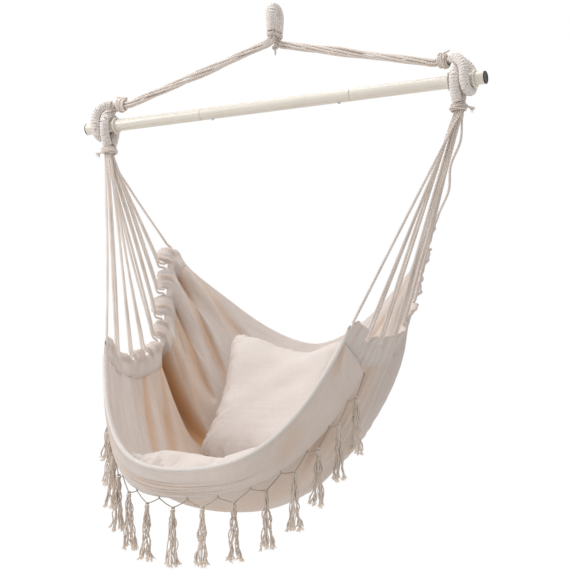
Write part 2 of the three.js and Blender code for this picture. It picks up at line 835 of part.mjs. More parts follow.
function columnShares(halfColumns) {
  return Array.from({ length: 2 * halfColumns + 1 }, (_, c) => {
    const share = c / halfColumns - 1;
    return Math.sign(share) * evenAcross(Math.abs(share));
  });
}

function clothGrid() {
  const flat = hemFrames.map((_, row) =>
    columnShares(CLOTH_HALF_COLUMNS).map((across) => {
      return clothPoint(across, row / hemStations);
    }),
  );
  const flatNormals = gridNormals(flat);
  const shares = columnShares(CLOTH_HALF_COLUMNS);
  return flat.map((line, r) =>
    line.map((point, c) => point.clone().addScaledVector(flatNormals[r][c], foldDepth(shares[c], r))),
  );
}

function slingCloth() {
  const grid = clothGrid();
  const normals = gridNormals(grid);
  const last = grid[0].length - 1;
  hemFrames.forEach((frame, r) => {
    const outer = frame.square.clone();
    if (outer.dot(normals[r][last]) < 0) {
      outer.negate();
    }
    normals[r][last] = outer;
    normals[r][0] = new THREE.Vector3(-outer.x, outer.y, outer.z);
  });
  return sheetSolid(grid, normals, CLOTH_THICKNESS);
}

// Side hems

function hemPoint(frame, up, square) {
  return frame.edge.clone().addScaledVector(frame.up, up).addScaledVector(frame.square, square);
}

// The bay between two tabs, cut through the hem from one face to the other.
function notchCutter(frame, halfLength) {
  const corners = [
    [-NOTCH_FLOOR_HALF_WIDTH, -NOTCH_DEPTH],
    [NOTCH_FLOOR_HALF_WIDTH, -NOTCH_DEPTH],
    [NOTCH_MOUTH_HALF_WIDTH, HEM_RISE + OVERRUN],
    [-NOTCH_MOUTH_HALF_WIDTH, HEM_RISE + OVERRUN],
  ];
  const ring = (square) =>
    corners.map(([along, up]) => hemPoint(frame, up, square).addScaledVector(frame.tangent, along));
  return skinned([ring(-halfLength), ring(halfLength)]);
}

function sideHem() {
  const half = CLOTH_THICKNESS / 2;
  const thick = HEM_BORE_RADIUS + HEM_WALL;
  const section = [
    [HEM_RISE, half],
    [0, thick],
    [-HEM_FALL, half],
    [-HEM_FALL, -half],
    [0, -thick],
    [HEM_RISE, -half],
  ];
  const body = skinned(
    hemFrames.map((frame) => section.map(([up, square]) => hemPoint(frame, up, square))),
  );
  const first = hemFrames[0];
  const last = hemFrames[hemStations];
  const boreStations = [
    first.edge.clone().addScaledVector(first.tangent, -OVERRUN),
    ...hemFrames.slice(1, hemStations).map((frame) => frame.edge),
    last.edge.clone().addScaledVector(last.tangent, OVERRUN),
  ];
  const bore = cordSolid(boreStations, 2 * HEM_BORE_RADIUS, HEM_BORE_SIDES);
  const notches = [];
  for (let i = 0; i <= hemStations; i += 2) {
    notches.push(notchCutter(hemFrames[i], thick + OVERRUN));
  }
  return cutBy(body, [bore, ...notches]);
}

// Fans of cord

const fanTopDrop = LOWER_CORE_DROP + END_GAP + FAN_STUB_HEIGHT / 2;
const fanStraightDrop = SEIZING_TOP_DROP + SEIZING_LENGTH + END_GAP;

// One cord from its place in the seizing, down through the tab between two notches, and back up.
function fanLoop(tab, firstTop, secondTop) {
  const from = hemFrames[2 * tab];
  const middle = hemFrames[2 * tab + 1];
  const to = hemFrames[2 * tab + 2];
  const ahead = middle.edge.clone().sub(from.edge).normalize();
  const behind = middle.edge.clone().sub(to.edge).normalize();
  const arrive = (frame, inwards, top) => {
    const mouth = frame.edge.clone().addScaledVector(inwards, NOTCH_HALF_SPREAD);
    const above = mouth.clone().addScaledVector(frame.up, CORD_RISE);
    const bend = mouth.clone().addScaledVector(frame.up, CORD_BEND);
    const inside = mouth.clone().addScaledVector(inwards, CORD_BEND);
    const straight = top.clone().setZ(-fanStraightDrop);
    return [top, straight, above, bend, inside];
  };
  const down = arrive(from, ahead, firstTop);
  const up = arrive(to, behind, secondTop).reverse();
  const stations = [...down, middle.edge.clone(), ...up];
  return cordSolid(stations, FAN_CORD_DIAMETER, FAN_CORD_SIDES, UP.clone().cross(BACK));
}

// The cords of one group stand in one row of the bundle, joined by the stub that the seizing grips.
function fanGroup(group) {
  const y = (group - (FAN_GROUPS - 1) / 2) * FAN_ROW_PITCH;
  const legs = 2 * LOOPS_PER_GROUP;
  const tops = Array.from({ length: legs }, (_, leg) => {
    const column = group % 2 === 0 ? leg : legs - 1 - leg;
    const x = lowerEyePlace + ((legs - 1) / 2 - column) * FAN_COLUMN_PITCH;
    return new THREE.Vector3(x, y, -fanTopDrop);
  });
  const cords = Array.from({ length: LOOPS_PER_GROUP }, (_, loop) =>
    fanLoop(group * LOOPS_PER_GROUP + loop, tops[2 * loop], tops[2 * loop + 1]),
  );
  const wide = FAN_CORD_DIAMETER + 2 * FAN_STUB_MARGIN;
  const stub = new THREE.BoxGeometry((legs - 1) * FAN_COLUMN_PITCH + wide, wide, FAN_STUB_HEIGHT);
  stub.translate(lowerEyePlace, y, -fanTopDrop);
  return joined([stub, ...cords]);
}

// Front flap

const flapHalfSpan = HEM_HALF_SPAN - FLAP_SIDE_INSET;

// The lower edge: a shallow curve along the middle that turns up more and more steeply to the sides.
function flapLowerPoint(across) {
  const near = Math.abs(across);
  const [shallow, sharp] = FLAP_EDGE_SHARES;
  return new THREE.Vector3(
    flapHalfSpan * across,
    -FLAP_FRONT + FLAP_SIDE_SET_BACK * near ** FLAP_SET_BACK_POWER,
    -FLAP_DROP + FLAP_SIDE_RISE * (shallow * near ** 2 + sharp * near ** 4),
  );
}

function flapGrid() {
  const shares = columnShares(FLAP_HALF_COLUMNS).map((share) => share * FLAP_TOP_SHARE);
  const rims = [0, 1 / hemStations].map((along) => shares.map((across) => clothPoint(across, along)));
  const outward = gridNormals(rims)[0];
  const offset = CLOTH_THICKNESS + FLAP_GAP;
  const sign = Math.sign(outward[FLAP_HALF_COLUMNS].y);
  return Array.from({ length: FLAP_ROWS }, (_, row) =>
    shares.map((across, c) => {
      const share = row / (FLAP_ROWS - 1);
      const rim = rims[0][c].clone().addScaledVector(outward[c], -sign * offset);
      const bulge = FLAP_BULGE * Math.sin(Math.PI * share);
      const point = rim.lerp(flapLowerPoint(across / FLAP_TOP_SHARE), share);
      return point.addScaledVector(outward[c], -sign * bulge);
    }),
  );
}

function frontFlap() {
  const grid = flapGrid();
  return sheetSolid(grid, gridNormals(grid), CLOTH_THICKNESS);
}

// Fringe

function tassel(place) {
  const tip = FRINGE_KNOT_HEIGHT + TASSEL_LENGTH;
  const profile = [
    [0, 0],
    [TASSEL_TOP_RADIUS, 0],
    [TASSEL_BODY_RADIUS, -FRINGE_KNOT_HEIGHT * 2],
    [TASSEL_TIP_RADIUS, -tip],
    [0, -tip],
  ];
  const points = profile.map(([radius, height]) => new THREE.Vector2(radius, height));
  const geometry = new THREE.LatheGeometry(points, TASSEL_SIDES).rotateX(Math.PI / 2);
  return closed(geometry.translate(place.x, place.y, place.z));
}

function fringe() {
  const edge = new THREE.CatmullRomCurve3(
    columnShares(FLAP_HALF_COLUMNS).map((across) => flapLowerPoint(across)),
    false,
    "centripetal",
  );
  const under = CLOTH_THICKNESS / 2 + FRINGE_CORD_DIAMETER / 2 + 2 * CLEARANCE;
  const links = 2 * TASSELS;
  const stations = edge.getSpacedPoints(links).map((point, i) => {
    const drop = i % 2 === 0 ? under : FRINGE_KNOT_DROP;
    return point.setZ(point.z - drop);
  });
  const cord = cordSolid(stations, FRINGE_CORD_DIAMETER, FRINGE_CORD_SIDES, UP);
  const hung = stations
    .filter((_, i) => i % 2 === 1)
    .map((knot) => tassel(knot.clone().setZ(knot.z + FRINGE_KNOT_HEIGHT / 2)));
  return joined([cord, ...hung]);
}

// Cushions: the underside follows the cloth, and the other face swells to a crown from a thin seam

const seatShares = {
  along: SEAT_ALONG_SHARES,
  across: SEAT_ACROSS_SHARES,
  draw: SEAT_DRAW_SHARE,
  tilt: 0,
  arch: 0,
};
const pillowShares = {
  along: PILLOW_ALONG_SHARES,
  across: PILLOW_ACROSS_SHARES,
  draw: PILLOW_DRAW_SHARE,
  tilt: PILLOW_TILT_SHARE,
  arch: PILLOW_ARCH_SHARE,
};

// The sides draw in between the corners, and the arch lifts the middle of the upper edge.
function cushionGrid(shares) {
  const steps = CUSHION_GRID - 1;
  const middle = (shares.along[0] + shares.along[1]) / 2;
  const half = (shares.along[1] - shares.along[0]) / 2;
  return Array.from({ length: CUSHION_GRID }, (_, r) =>
    Array.from({ length: CUSHION_GRID }, (_, c) => {
      const a = (2 * c) / steps - 1;
      const b = (2 * r) / steps - 1;
      const reach = THREE.MathUtils.lerp(...shares.across, r / steps);
      const across = a * reach * (1 - shares.draw * (1 - b * b));
      const arch = (shares.arch * (1 - a * a) * r) / steps;
      const along = middle + b * half * (1 - shares.draw * (1 - a * a)) - a * shares.tilt + arch;
      const crown = Math.sqrt((1 - a ** 4) * (1 - b ** 4));
      return { crown, point: clothPoint(across, along) };
    }),
  );
}

function cushion(shares, thickness, lifts, direction) {
  const grid = cushionGrid(shares);
  const heightOf = (crown) => SEAM_THICKNESS + (thickness - SEAM_THICKNESS) * crown;
  const middle = grid.map((line) =>
    line.map(({ crown, point }) => {
      const lift = lifts[0] + lifts[1] * (1 - crown) + heightOf(crown) / 2;
      return point.clone().addScaledVector(direction, lift);
    }),
  );
  const spans = grid.map((line) =>
    line.map(({ crown }) => direction.clone().multiplyScalar(heightOf(crown))),
  );
  return sheetSolid(middle, spans, 1);
}

// Tube sections

const swageRadius = tubeRadius - TUBE_WALL - CLEARANCE;
const swageBore = swageRadius - TUBE_WALL;
const tubeBore = tubeRadius - TUBE_WALL;
const jointPlace = MIDDLE_LENGTH / 2;
const buttonPlace = jointPlace - BUTTON_INSET;
const tubeEnd = BAR_LENGTH / 2 - CAP_THICKNESS;

function buttonHole(place) {
  const centre = new THREE.Vector3(place, 0, -tubeRadius);
  return cylinderAt(BUTTON_DIAMETER / 2 + CLEARANCE, tubeRadius, BUTTON_SIDES, centre, UP);
}

function middleTube() {
  const tube = turnedAlongX(
    [
      [tubeBore, -jointPlace],
      [tubeRadius, -jointPlace],
      [tubeRadius, jointPlace],
      [tubeBore, jointPlace],
      [tubeBore, -jointPlace],
    ],
    TUBE_SIDES,
  );
  return cutBy(tube, [buttonHole(buttonPlace), buttonHole(-buttonPlace)]);
}

function endTube() {
  const swageStart = jointPlace - SWAGE_LENGTH;
  const shoulder = jointPlace + CLEARANCE;
  const tube = turnedAlongX(
    [
      [swageBore, swageStart],
      [swageRadius, swageStart],
      [swageRadius, shoulder],
      [tubeRadius, shoulder],
      [tubeRadius, tubeEnd],
      [tubeBore, tubeEnd],
      [tubeBore, shoulder + SHOULDER_LENGTH],
      [swageBore, shoulder],
      [swageBore, swageStart],
    ],
    TUBE_SIDES,
  );
  return cutBy(tube, [buttonHole(buttonPlace)]);
}

function collar(place) {
  const bore = tubeRadius + COLLAR_SLACK;
  const start = place - COLLAR_THICKNESS / 2;
  const end = place + COLLAR_THICKNESS / 2;
  const outer = COLLAR_DIAMETER / 2;
  return turnedAlongX(
    [
      [bore, start],
      [outer, start],
      [outer, end],
      [bore, end],
      [bore, start],
    ],
    COLLAR_SIDES,
  );
}

function endCap() {
  const plug = tubeBore - CLEARANCE;
  const face = tubeEnd + CLEARANCE;
  return turnedAlongX(
    [
      [0, tubeEnd - CAP_PLUG_LENGTH],
      [plug, tubeEnd - CAP_PLUG_LENGTH],
      [plug, face],
      [tubeRadius, face],
      [tubeRadius, BAR_LENGTH / 2],
      [0, BAR_LENGTH / 2],
    ],
    COLLAR_SIDES,
  );
}

const buttonHeadTop = Math.sqrt(swageBore ** 2 - (BUTTON_HEAD_DIAMETER / 2) ** 2) - CLEARANCE;

function snapButton() {
  const head = BUTTON_HEAD_DIAMETER / 2;
  const pin = BUTTON_DIAMETER / 2;
  const tip = tubeRadius + BUTTON_PROUD;
  const profile = [
    [0, -buttonHeadTop + BUTTON_HEAD_THICKNESS],
    [head, -buttonHeadTop + BUTTON_HEAD_THICKNESS],
    [head, -buttonHeadTop],
    [pin, -buttonHeadTop],
    [pin, -tip + BUTTON_CROWN],
    [pin / 2, -tip],
    [0, -tip],
  ];
  const points = profile.map(([radius, height]) => new THREE.Vector2(radius, height));
  const geometry = new THREE.LatheGeometry(points, BUTTON_SIDES).rotateX(Math.PI / 2);
  return closed(geometry.translate(buttonPlace, 0, 0));
}

// A leaf bent to a V, one arm on the button's head and the other under the far wall of the tube.
function buttonSpring() {
  const low = -buttonHeadTop + BUTTON_HEAD_THICKNESS + CLEARANCE;
  const high = swageBore - SPRING_TOP_GAP;
  const thick = SPRING_THICKNESS;
  const outline = new THREE.Shape([
    new THREE.Vector2(-SPRING_PAD, low),
    new THREE.Vector2(SPRING_PAD, low),
    new THREE.Vector2(SPRING_REACH, -thick),
    new THREE.Vector2(SPRING_REACH, thick),
    new THREE.Vector2(SPRING_PAD, high),
    new THREE.Vector2(-SPRING_PAD, high),
    new THREE.Vector2(-SPRING_PAD, high - thick),
    new THREE.Vector2(SPRING_PAD - thick / 2, high - thick),
    new THREE.Vector2(SPRING_REACH - 2 * thick, 0),
    new THREE.Vector2(SPRING_PAD - thick / 2, low + thick),
    new THREE.Vector2(-SPRING_PAD, low + thick),
  ]);
  const leaf = new THREE.ExtrudeGeometry(outline, { depth: SPRING_WIDTH, bevelEnabled: false });
  leaf.translate(0, 0, -SPRING_WIDTH / 2).rotateX(Math.PI / 2);
  return closed(leaf.translate(buttonPlace, 0, 0));
}

// Assembly

const chair = new THREE.Group();
const suspension = new THREE.Group();
const bar = new THREE.Group();
const sling = new THREE.Group();
bar.position.set(0, 0, -BAR_DROP);
sling.position.set(0, 0, -BAR_DROP);
chair.add(suspension, bar, sling);

const hangerCore = cordSolid(
  hangerRoute().getSpacedPoints(HANGER_CORE_STEPS),
  2 * HANGER_CORE_RADIUS,
  CORE_SIDES,
  OUTBOARD,
);
piece(suspension, "hanging_eye_core", hangerCore, rope());
const hangerServing = serving(
  "hanging_eye_serving",
  servedStretch(hangerRoute(), (point) => point.z > -HANGER_SERVED_DROP),
  HANGER_LOOPS,
  HANGER_LIMB_RADIUS - HANGER_WRAP_HALF_THICKNESS,
  HANGER_WRAP_HALF_THICKNESS,
  HANGER_WRAP_HALF_WIDTH,
);
piece(suspension, "hanging_eye_serving", hangerServing, servingCord());
piece(suspension, "throat_binding", throatBinding(), rope());

const rightLeg = legLine();
for (let strand = 0; strand < STRANDS; strand += 1) {
  const geometry = legStrand(rightLeg, (2 * Math.PI * strand) / STRANDS);
  piece(suspension, `right_leg_strand_${strand + 1}`, geometry, rope());
  piece(suspension, `left_leg_strand_${strand + 1}`, turnedRound(geometry), rope());
}

const upperRopes = new THREE.Group();
upperRopes.position.set(0, 0, -BAR_DROP);
suspension.add(upperRopes);
const upperCore = cordSolid(
  upperRoute().getSpacedPoints(CORE_STEPS),
  2 * CORE_RADIUS,
  CORE_SIDES,
  UP,
);
pair(upperRopes, "upper_eye_core", upperCore, rope);
const upperServing = serving(
  "upper_eye_serving",
  servedStretch(upperRoute(), isUpperServed),
  WRAP_LOOPS,
  windRadius,
  WRAP_HALF_THICKNESS,
  UPPER_WRAP_HALF_WIDTH,
);
pair(upperRopes, "upper_eye_serving", upperServing, servingCord);
pair(upperRopes, "leg_binding", legBinding(), rope);

piece(bar, "middle_tube", middleTube(), enamel());
pair(bar, "end_tube", endTube(), enamel);
pair(bar, "inner_collar", collar(innerCollarPlace), enamel);
pair(bar, "outer_collar", collar(outerCollarPlace), enamel);
pair(bar, "end_cap", endCap(), blackPlastic);
pair(bar, "snap_button", snapButton(), springSteel);
pair(bar, "button_spring", buttonSpring(), springSteel);

const lowerCore = cordSolid(
  lowerRoute().getSpacedPoints(CORE_STEPS),
  2 * CORE_RADIUS,
  CORE_SIDES,
  OUTBOARD,
);
pair(sling, "lower_eye_core", lowerCore, rope);
const lowerServing = serving(
  "lower_eye_serving",
  servedStretch(lowerRoute(), (point) => point.z > -LOWER_SERVED_DROP),
  WRAP_LOOPS,
  windRadius,
  WRAP_HALF_THICKNESS,
  LOWER_WRAP_HALF_WIDTH,
);
pair(sling, "lower_eye_serving", lowerServing, servingCord);
pair(sling, "fan_seizing", fanSeizing(), rope);
for (let group = 0; group < FAN_GROUPS; group += 1) {
  pair(sling, `fan_cords_${group + 1}`, fanGroup(group), rope);
}
pair(sling, "side_hem", sideHem(), cloth);
piece(sling, "sling_cloth", slingCloth(), cloth());
piece(sling, "front_flap", frontFlap(), cloth());
piece(sling, "fringe", fringe(), fringeYarn());

const seatCushion = cushion(seatShares, SEAT_THICKNESS, [SEAT_LIFT, SEAT_SEAM_LIFT], UP);
piece(sling, "seat_cushion", seatCushion, cushionCloth());
const backPillow = cushion(
  pillowShares,
  PILLOW_THICKNESS,
  [PILLOW_LIFT, PILLOW_SEAM_LIFT],
  new THREE.Vector3(0, ...PILLOW_LEAN_SHARES).normalize(),
);
piece(sling, "back_pillow", backPillow, cushionCloth());

export default chair;
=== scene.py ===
# %% [markdown]
# # A hanging hammock chair in cotton canvas
# The chair hangs from one served rope eye. Two legs of cotton strands run from it to a steel spreader bar,
# fans of cord drop from the bar to a canvas sling, and a seat cushion and a pillow lie in the sling.
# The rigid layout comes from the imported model. This lesson dresses it, one piece or finish per cell.
# Everything is in metres, with Z up and the sitter facing -Y. The origin is where a hook bears in the eye.

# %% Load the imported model
import math

import bpy
import numpy as np
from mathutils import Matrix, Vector


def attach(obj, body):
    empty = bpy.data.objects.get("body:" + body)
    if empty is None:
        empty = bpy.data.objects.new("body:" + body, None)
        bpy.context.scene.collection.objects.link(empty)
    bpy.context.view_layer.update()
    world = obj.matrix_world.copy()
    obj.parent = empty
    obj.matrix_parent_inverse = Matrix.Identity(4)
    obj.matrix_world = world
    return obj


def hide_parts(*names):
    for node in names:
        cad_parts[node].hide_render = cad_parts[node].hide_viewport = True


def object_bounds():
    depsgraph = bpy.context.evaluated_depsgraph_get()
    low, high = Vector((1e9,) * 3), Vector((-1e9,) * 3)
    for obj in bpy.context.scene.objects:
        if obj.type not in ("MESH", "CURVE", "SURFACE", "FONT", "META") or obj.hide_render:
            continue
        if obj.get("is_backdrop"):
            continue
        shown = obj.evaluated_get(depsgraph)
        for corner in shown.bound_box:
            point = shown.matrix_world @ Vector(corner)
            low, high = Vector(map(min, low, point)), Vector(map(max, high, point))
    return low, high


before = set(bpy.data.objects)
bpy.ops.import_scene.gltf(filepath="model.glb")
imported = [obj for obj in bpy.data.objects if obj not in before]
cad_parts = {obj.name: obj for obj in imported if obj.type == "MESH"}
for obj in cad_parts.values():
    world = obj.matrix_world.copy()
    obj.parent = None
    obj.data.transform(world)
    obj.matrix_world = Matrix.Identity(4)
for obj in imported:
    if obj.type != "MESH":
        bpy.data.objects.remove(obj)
cad_box = [list(corner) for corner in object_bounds()]
MM = 0.001

# %% [markdown]
# ## The camera
# The photograph looks up at the chair a little, from the front and to its right, through a long lens.
# A long lens could be replaced by a distant normal one and a crop, but then the cords would spread wrongly,
# so the lens is worked out from the picture's width: the number of pixels that one radian covers.

# %% Camera
PICTURE_PIXELS = 570
PIXELS_PER_RADIAN = 1650
SENSOR_MM = 36
VIEW_YAW = math.radians(26.90)
VIEW_PITCH = math.radians(8.58)
VIEW_DISTANCE = 3.589
VIEW_SIDE_STEP = 0.023
VIEW_HEIGHT = -1.161

camera_data = bpy.data.cameras.new("camera")
camera_data.lens = PIXELS_PER_RADIAN / PICTURE_PIXELS * SENSOR_MM
camera_data.sensor_width = SENSOR_MM
camera = bpy.data.objects.new("camera", camera_data)
bpy.context.scene.collection.objects.link(camera)
camera.location = (
    math.sin(VIEW_YAW) * VIEW_DISTANCE + VIEW_SIDE_STEP * math.cos(VIEW_YAW),
    -math.cos(VIEW_YAW) * VIEW_DISTANCE + VIEW_SIDE_STEP * math.sin(VIEW_YAW),
    VIEW_HEIGHT,
)
look = Vector(
    (
        -math.sin(VIEW_YAW) * math.cos(VIEW_PITCH),
        math.cos(VIEW_YAW) * math.cos(VIEW_PITCH),
        math.sin(VIEW_PITCH),
    )
)
camera.rotation_euler = look.to_track_quat("-Z", "Y").to_euler()
bpy.context.scene.camera = camera
print("camera lens", round(camera_data.lens, 1), "mm at", [round(c, 3) for c in camera.location])

# %% [markdown]
# ## Lines, cords and how they become meshes
# Every rope here is cotton laid from three plies. A bump map could draw the plies on a smooth tube, but the
# outline would stay smooth, so each cord is a real twisted solid: a three-lobed ring turned a little at
# every step along the line. The line itself is a smooth curve through the few points that set its route.

# %% Smooth lines
CURVE_STEPS = 60


def unit(vectors):
    return vectors / np.maximum(np.linalg.norm(vectors, axis=-1, keepdims=True), 1e-12)


def length_of(line):
    return float(np.linalg.norm(np.diff(line, axis=0), axis=1).sum())


def walked_along(line):
    return np.concatenate([[0], np.cumsum(np.linalg.norm(np.diff(line, axis=0), axis=1))])


def rows_at(at, places, rows):
    """Rows of three numbers, read off at places between the given ones."""
    return np.stack([np.interp(at, places, rows[:, k]) for k in range(3)], axis=-1)


def evenly(line, steps):
    line = np.asarray(line, float)
    walked = walked_along(line)
    return rows_at(np.linspace(0, walked[-1], steps + 1), walked, line)


def smooth_line(points, steps):
    """Evenly spaced points on a curve through the given points, without loops between them."""
    points = np.asarray(points, float)
    first = 2 * points[0] - points[1]
    last = 2 * points[-1] - points[-2]
    knots = np.vstack([first, points, last])
    t = np.linspace(0, 1, CURVE_STEPS, endpoint=False)[:, None]
    dense = []
    for i in range(len(points) - 1):
        p0, p1, p2, p3 = knots[i : i + 4]
        spans = ((p0, p1), (p1, p2), (p2, p3))
        d0, d1, d2 = (max(np.linalg.norm(b - a), 1e-9) ** 0.5 for a, b in spans)
        leave = ((p1 - p0) / d0 - (p2 - p0) / (d0 + d1) + (p2 - p1) / d1) * d1
        arrive = ((p2 - p1) / d1 - (p3 - p1) / (d1 + d2) + (p3 - p2) / d2) * d1
        dense.append(
            p1
            + leave * t
            + (3 * (p2 - p1) - 2 * leave - arrive) * t**2
            + (2 * (p1 - p2) + leave + arrive) * t**3
        )
    return evenly(np.vstack([*dense, points[-1:]]), steps)


def mm(points):
    return np.array(points, float) * MM


def carried_axes(line, start):
    """Tangent, normal and side at each point, carried along the line without twist."""
    ahead = np.vstack([line[1:], line[-1:]])
    behind = np.vstack([line[:1], line[:-1]])
    tangents = unit(ahead - behind)
    normals = np.empty_like(tangents)
    normal = np.array(start, float)
    for i, tangent in enumerate(tangents):
        normal = normal - tangent * (normal @ tangent)
        normal = normal / np.linalg.norm(normal)
        normals[i] = normal
    return tangents, normals, np.cross(tangents, normals)


BACK = (0, 1, 0)
UP = (0, 0, 1)
LEFT = (1, 0, 0)
test_line = smooth_line([(0, 0, 0), (0.1, 0, 0), (0.1, 0.1, 0)], 40)
print("smooth line round a test corner:", round(length_of(test_line), 4), "m")

# %% Laid cord
PLIES = 3
PLY_CREASE = 0.13
PLY_ROUNDING = 0.7
CORD_SIDES = 12
STEPS_PER_LAY, LONGEST_STEP = 8, 2.2 * MM


def tube_faces(rings, sides):
    ring = np.arange(rings - 1)[:, None] * sides
    k = np.arange(sides)[None, :]
    following = (k + 1) % sides
    quads = np.stack([ring + k, ring + following, ring + following + sides, ring + k + sides], axis=-1)
    last = (rings - 1) * sides
    ends = [list(range(sides - 1, -1, -1)), list(range(last, last + sides))]
    return quads.reshape(-1, 4).tolist() + ends


def lobed_ring(crease):
    """Angles round a cord, and the share of its radius that the plies reach at each."""
    around = 2 * np.pi * np.arange(CORD_SIDES) / CORD_SIDES
    return around, 1 - crease * (1 - np.abs(np.cos(PLIES / 2 * around)) ** PLY_ROUNDING)


def rings_along(line, out, outward, over, sideways):
    """Rings of corners about a line, from distances in two directions square to it."""
    places = (
        line[:, None, :]
        + out[..., None] * outward[:, None, :]
        + over[..., None] * sideways[:, None, :]
    )
    return places.reshape(-1, 3), tube_faces(len(line), out.shape[1])


def laid_cord(line, diameter, lay, start=BACK, turn=0.0, swell=None, crease=PLY_CREASE):
    """A cord of three plies, one full turn per lay. swell lists shares along it and widths there."""
    step = min(lay / STEPS_PER_LAY, LONGEST_STEP)
    line = evenly(line, max(6, round(length_of(line) / step)))
    _, normals, sides = carried_axes(line, start)
    around, lobes = lobed_ring(crease)
    walked = np.linspace(0, length_of(line), len(line))
    angles = around[None, :] + (2 * np.pi * walked / lay + turn)[:, None]
    radius = diameter / 2 * lobes[None, :] * np.ones((len(line), 1))
    if swell is not None:
        radius = radius * np.interp(walked / walked[-1], *swell)[:, None]
    return rings_along(line, radius * np.cos(angles), normals, radius * np.sin(angles), sides)


def plain_yarn(line, radii, sides=5, start=BACK):
    line = np.asarray(line, float)
    _, normals, across = carried_axes(line, start)
    around = 2 * np.pi * np.arange(sides) / sides
    radius = np.interp(np.linspace(0, 1, len(line)), np.linspace(0, 1, len(radii)), radii)
    ring = (
        np.cos(around)[None, :, None] * normals[:, None, :]
        + np.sin(around)[None, :, None] * across[:, None, :]
    )
    places = line[:, None, :] + radius[:, None, None] * ring
    return places.reshape(-1, 3), tube_faces(len(line), sides)


def together(parts):
    places, faces, offset = [], [], 0
    for part_places, part_faces in parts:
        places.append(np.asarray(part_places, float))
        faces += [[corner + offset for corner in face] for face in part_faces]
        offset += len(part_places)
    return np.vstack(places), faces


def mirrored(part):
    """The same piece for the other side of the chair."""
    places, faces = part
    return np.asarray(places) * (-1, 1, 1), [face[::-1] for face in faces]


# %% [markdown]
# ## Putting a mesh on the model
# Each mesh rides on a body of the imported model, and the solids that it stands for are hidden. It could be
# joined to them, but then neither could be looked at alone. A mesh also carries notes, which are numbers at
# its points that a finish can read.

# %% Pieces
def mesh_object(name, places, faces):
    mesh = bpy.data.meshes.new(name)
    mesh.from_pydata(np.asarray(places).tolist(), [], faces)
    placed = bpy.data.objects.new(name, mesh)
    bpy.context.scene.collection.objects.link(placed)
    return placed


def make_piece(name, part, body, finish, stands_for=(), notes=None):
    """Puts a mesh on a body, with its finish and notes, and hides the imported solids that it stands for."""
    piece = mesh_object(name, *part)
    mesh = piece.data
    mesh.polygons.foreach_set("use_smooth", [True] * len(mesh.polygons))
    for note, values in (notes or {}).items():
        values = np.asarray(values, np.float32)
        kind, field = ("FLOAT_VECTOR", "vector") if values.ndim == 2 else ("FLOAT", "value")
        mesh.attributes.new(note, kind, "POINT").data.foreach_set(field, values.ravel())
    mesh.update()
    mesh.materials.append(finish)
    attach(piece, body)
    if stands_for:
        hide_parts(*stands_for)
    return piece


# %% [markdown]
# ## Cotton rope finish
# Undyed cotton rope is a warm white, fuzzy rather than shiny, with fibres that run along each ply.
# The plies are in the mesh, so the finish adds what is smaller: fibre streaks, a slight change of tone and a
# faint sheen. Noise in the object's own space does this, because it needs no seam and no unwrapping.

# %% Finish helpers
def wire(tree, kind, output=0, settings=None, **inputs):
    """Adds a node, sets or links its inputs by name (n1 is input 1) and returns an output."""
    node = tree.nodes.new("ShaderNode" + kind)
    for key, value in (settings or {}).items():
        setattr(node, key, value)
    for key, value in inputs.items():
        numbered = key[0] == "n" and key[1:].isdigit()
        socket = node.inputs[int(key[1:]) if numbered else key.replace("_", " ")]
        if isinstance(value, bpy.types.NodeSocket):
            tree.links.new(value, socket)
        else:
            socket.default_value = value
    return node.outputs[output]


def new_finish(name, roughness=0.9, sheen=0.0, metallic=0.0, coat=0.0):
    finish = bpy.data.materials.new(name)
    finish.use_nodes = True
    tree = finish.node_tree
    shader = tree.nodes["Principled BSDF"]
    levels = {
        "Roughness": roughness, "Sheen Weight": sheen, "Sheen Roughness": 0.5,
        "Metallic": metallic, "Coat Weight": coat, "Coat Roughness": 0.12,
    }
    for level, value in levels.items():
        shader.inputs[level].default_value = value
    return finish, tree, shader


def tone(red, green, blue):
    """A colour as it looks on screen, 0 to 255, as the linear value that the shader wants."""
    shares = [c / 255 for c in (red, green, blue)]
    return (*[c / 12.92 if c <= 0.04045 else ((c + 0.055) / 1.055) ** 2.4 for c in shares], 1)


def blend_tones(tree, share, low, high):
    return wire(tree, "Mix", 2, {"data_type": "RGBA"}, n0=share, n6=low, n7=high)


def stretch(tree, value, low, high, to_low=0.0, to_high=1.0):
    limits = {"From_Min": low, "From_Max": high, "To_Min": to_low, "To_Max": to_high}
    return wire(tree, "MapRange", Value=value, **limits)


def sums(tree, operation, first, second=0.0):
    return wire(tree, "Math", 0, {"operation": operation}, n0=first, n1=second)


def plus(tree, first, second):
    return sums(tree, "ADD", first, second)


def times(tree, first, second):
    return sums(tree, "MULTIPLY", first, second)


def noise(tree, place, scale, detail, roughness=0.5):
    return wire(tree, "TexNoise", Vector=place, Scale=scale, Detail=detail, Roughness=roughness)


def own_place(tree):
    return wire(tree, "TexCoord", 3)


def dress(tree, shader, colour, roughness, height, strength, distance, **under):
    """Links a colour, a roughness and a bump of the given height to the shader."""
    bump = wire(tree, "Bump", Height=height, Strength=strength, Distance=distance, **under)
    for value, place in ((colour, "Base Color"), (roughness, "Roughness"), (bump, "Normal")):
        tree.links.new(value, shader.inputs[place])


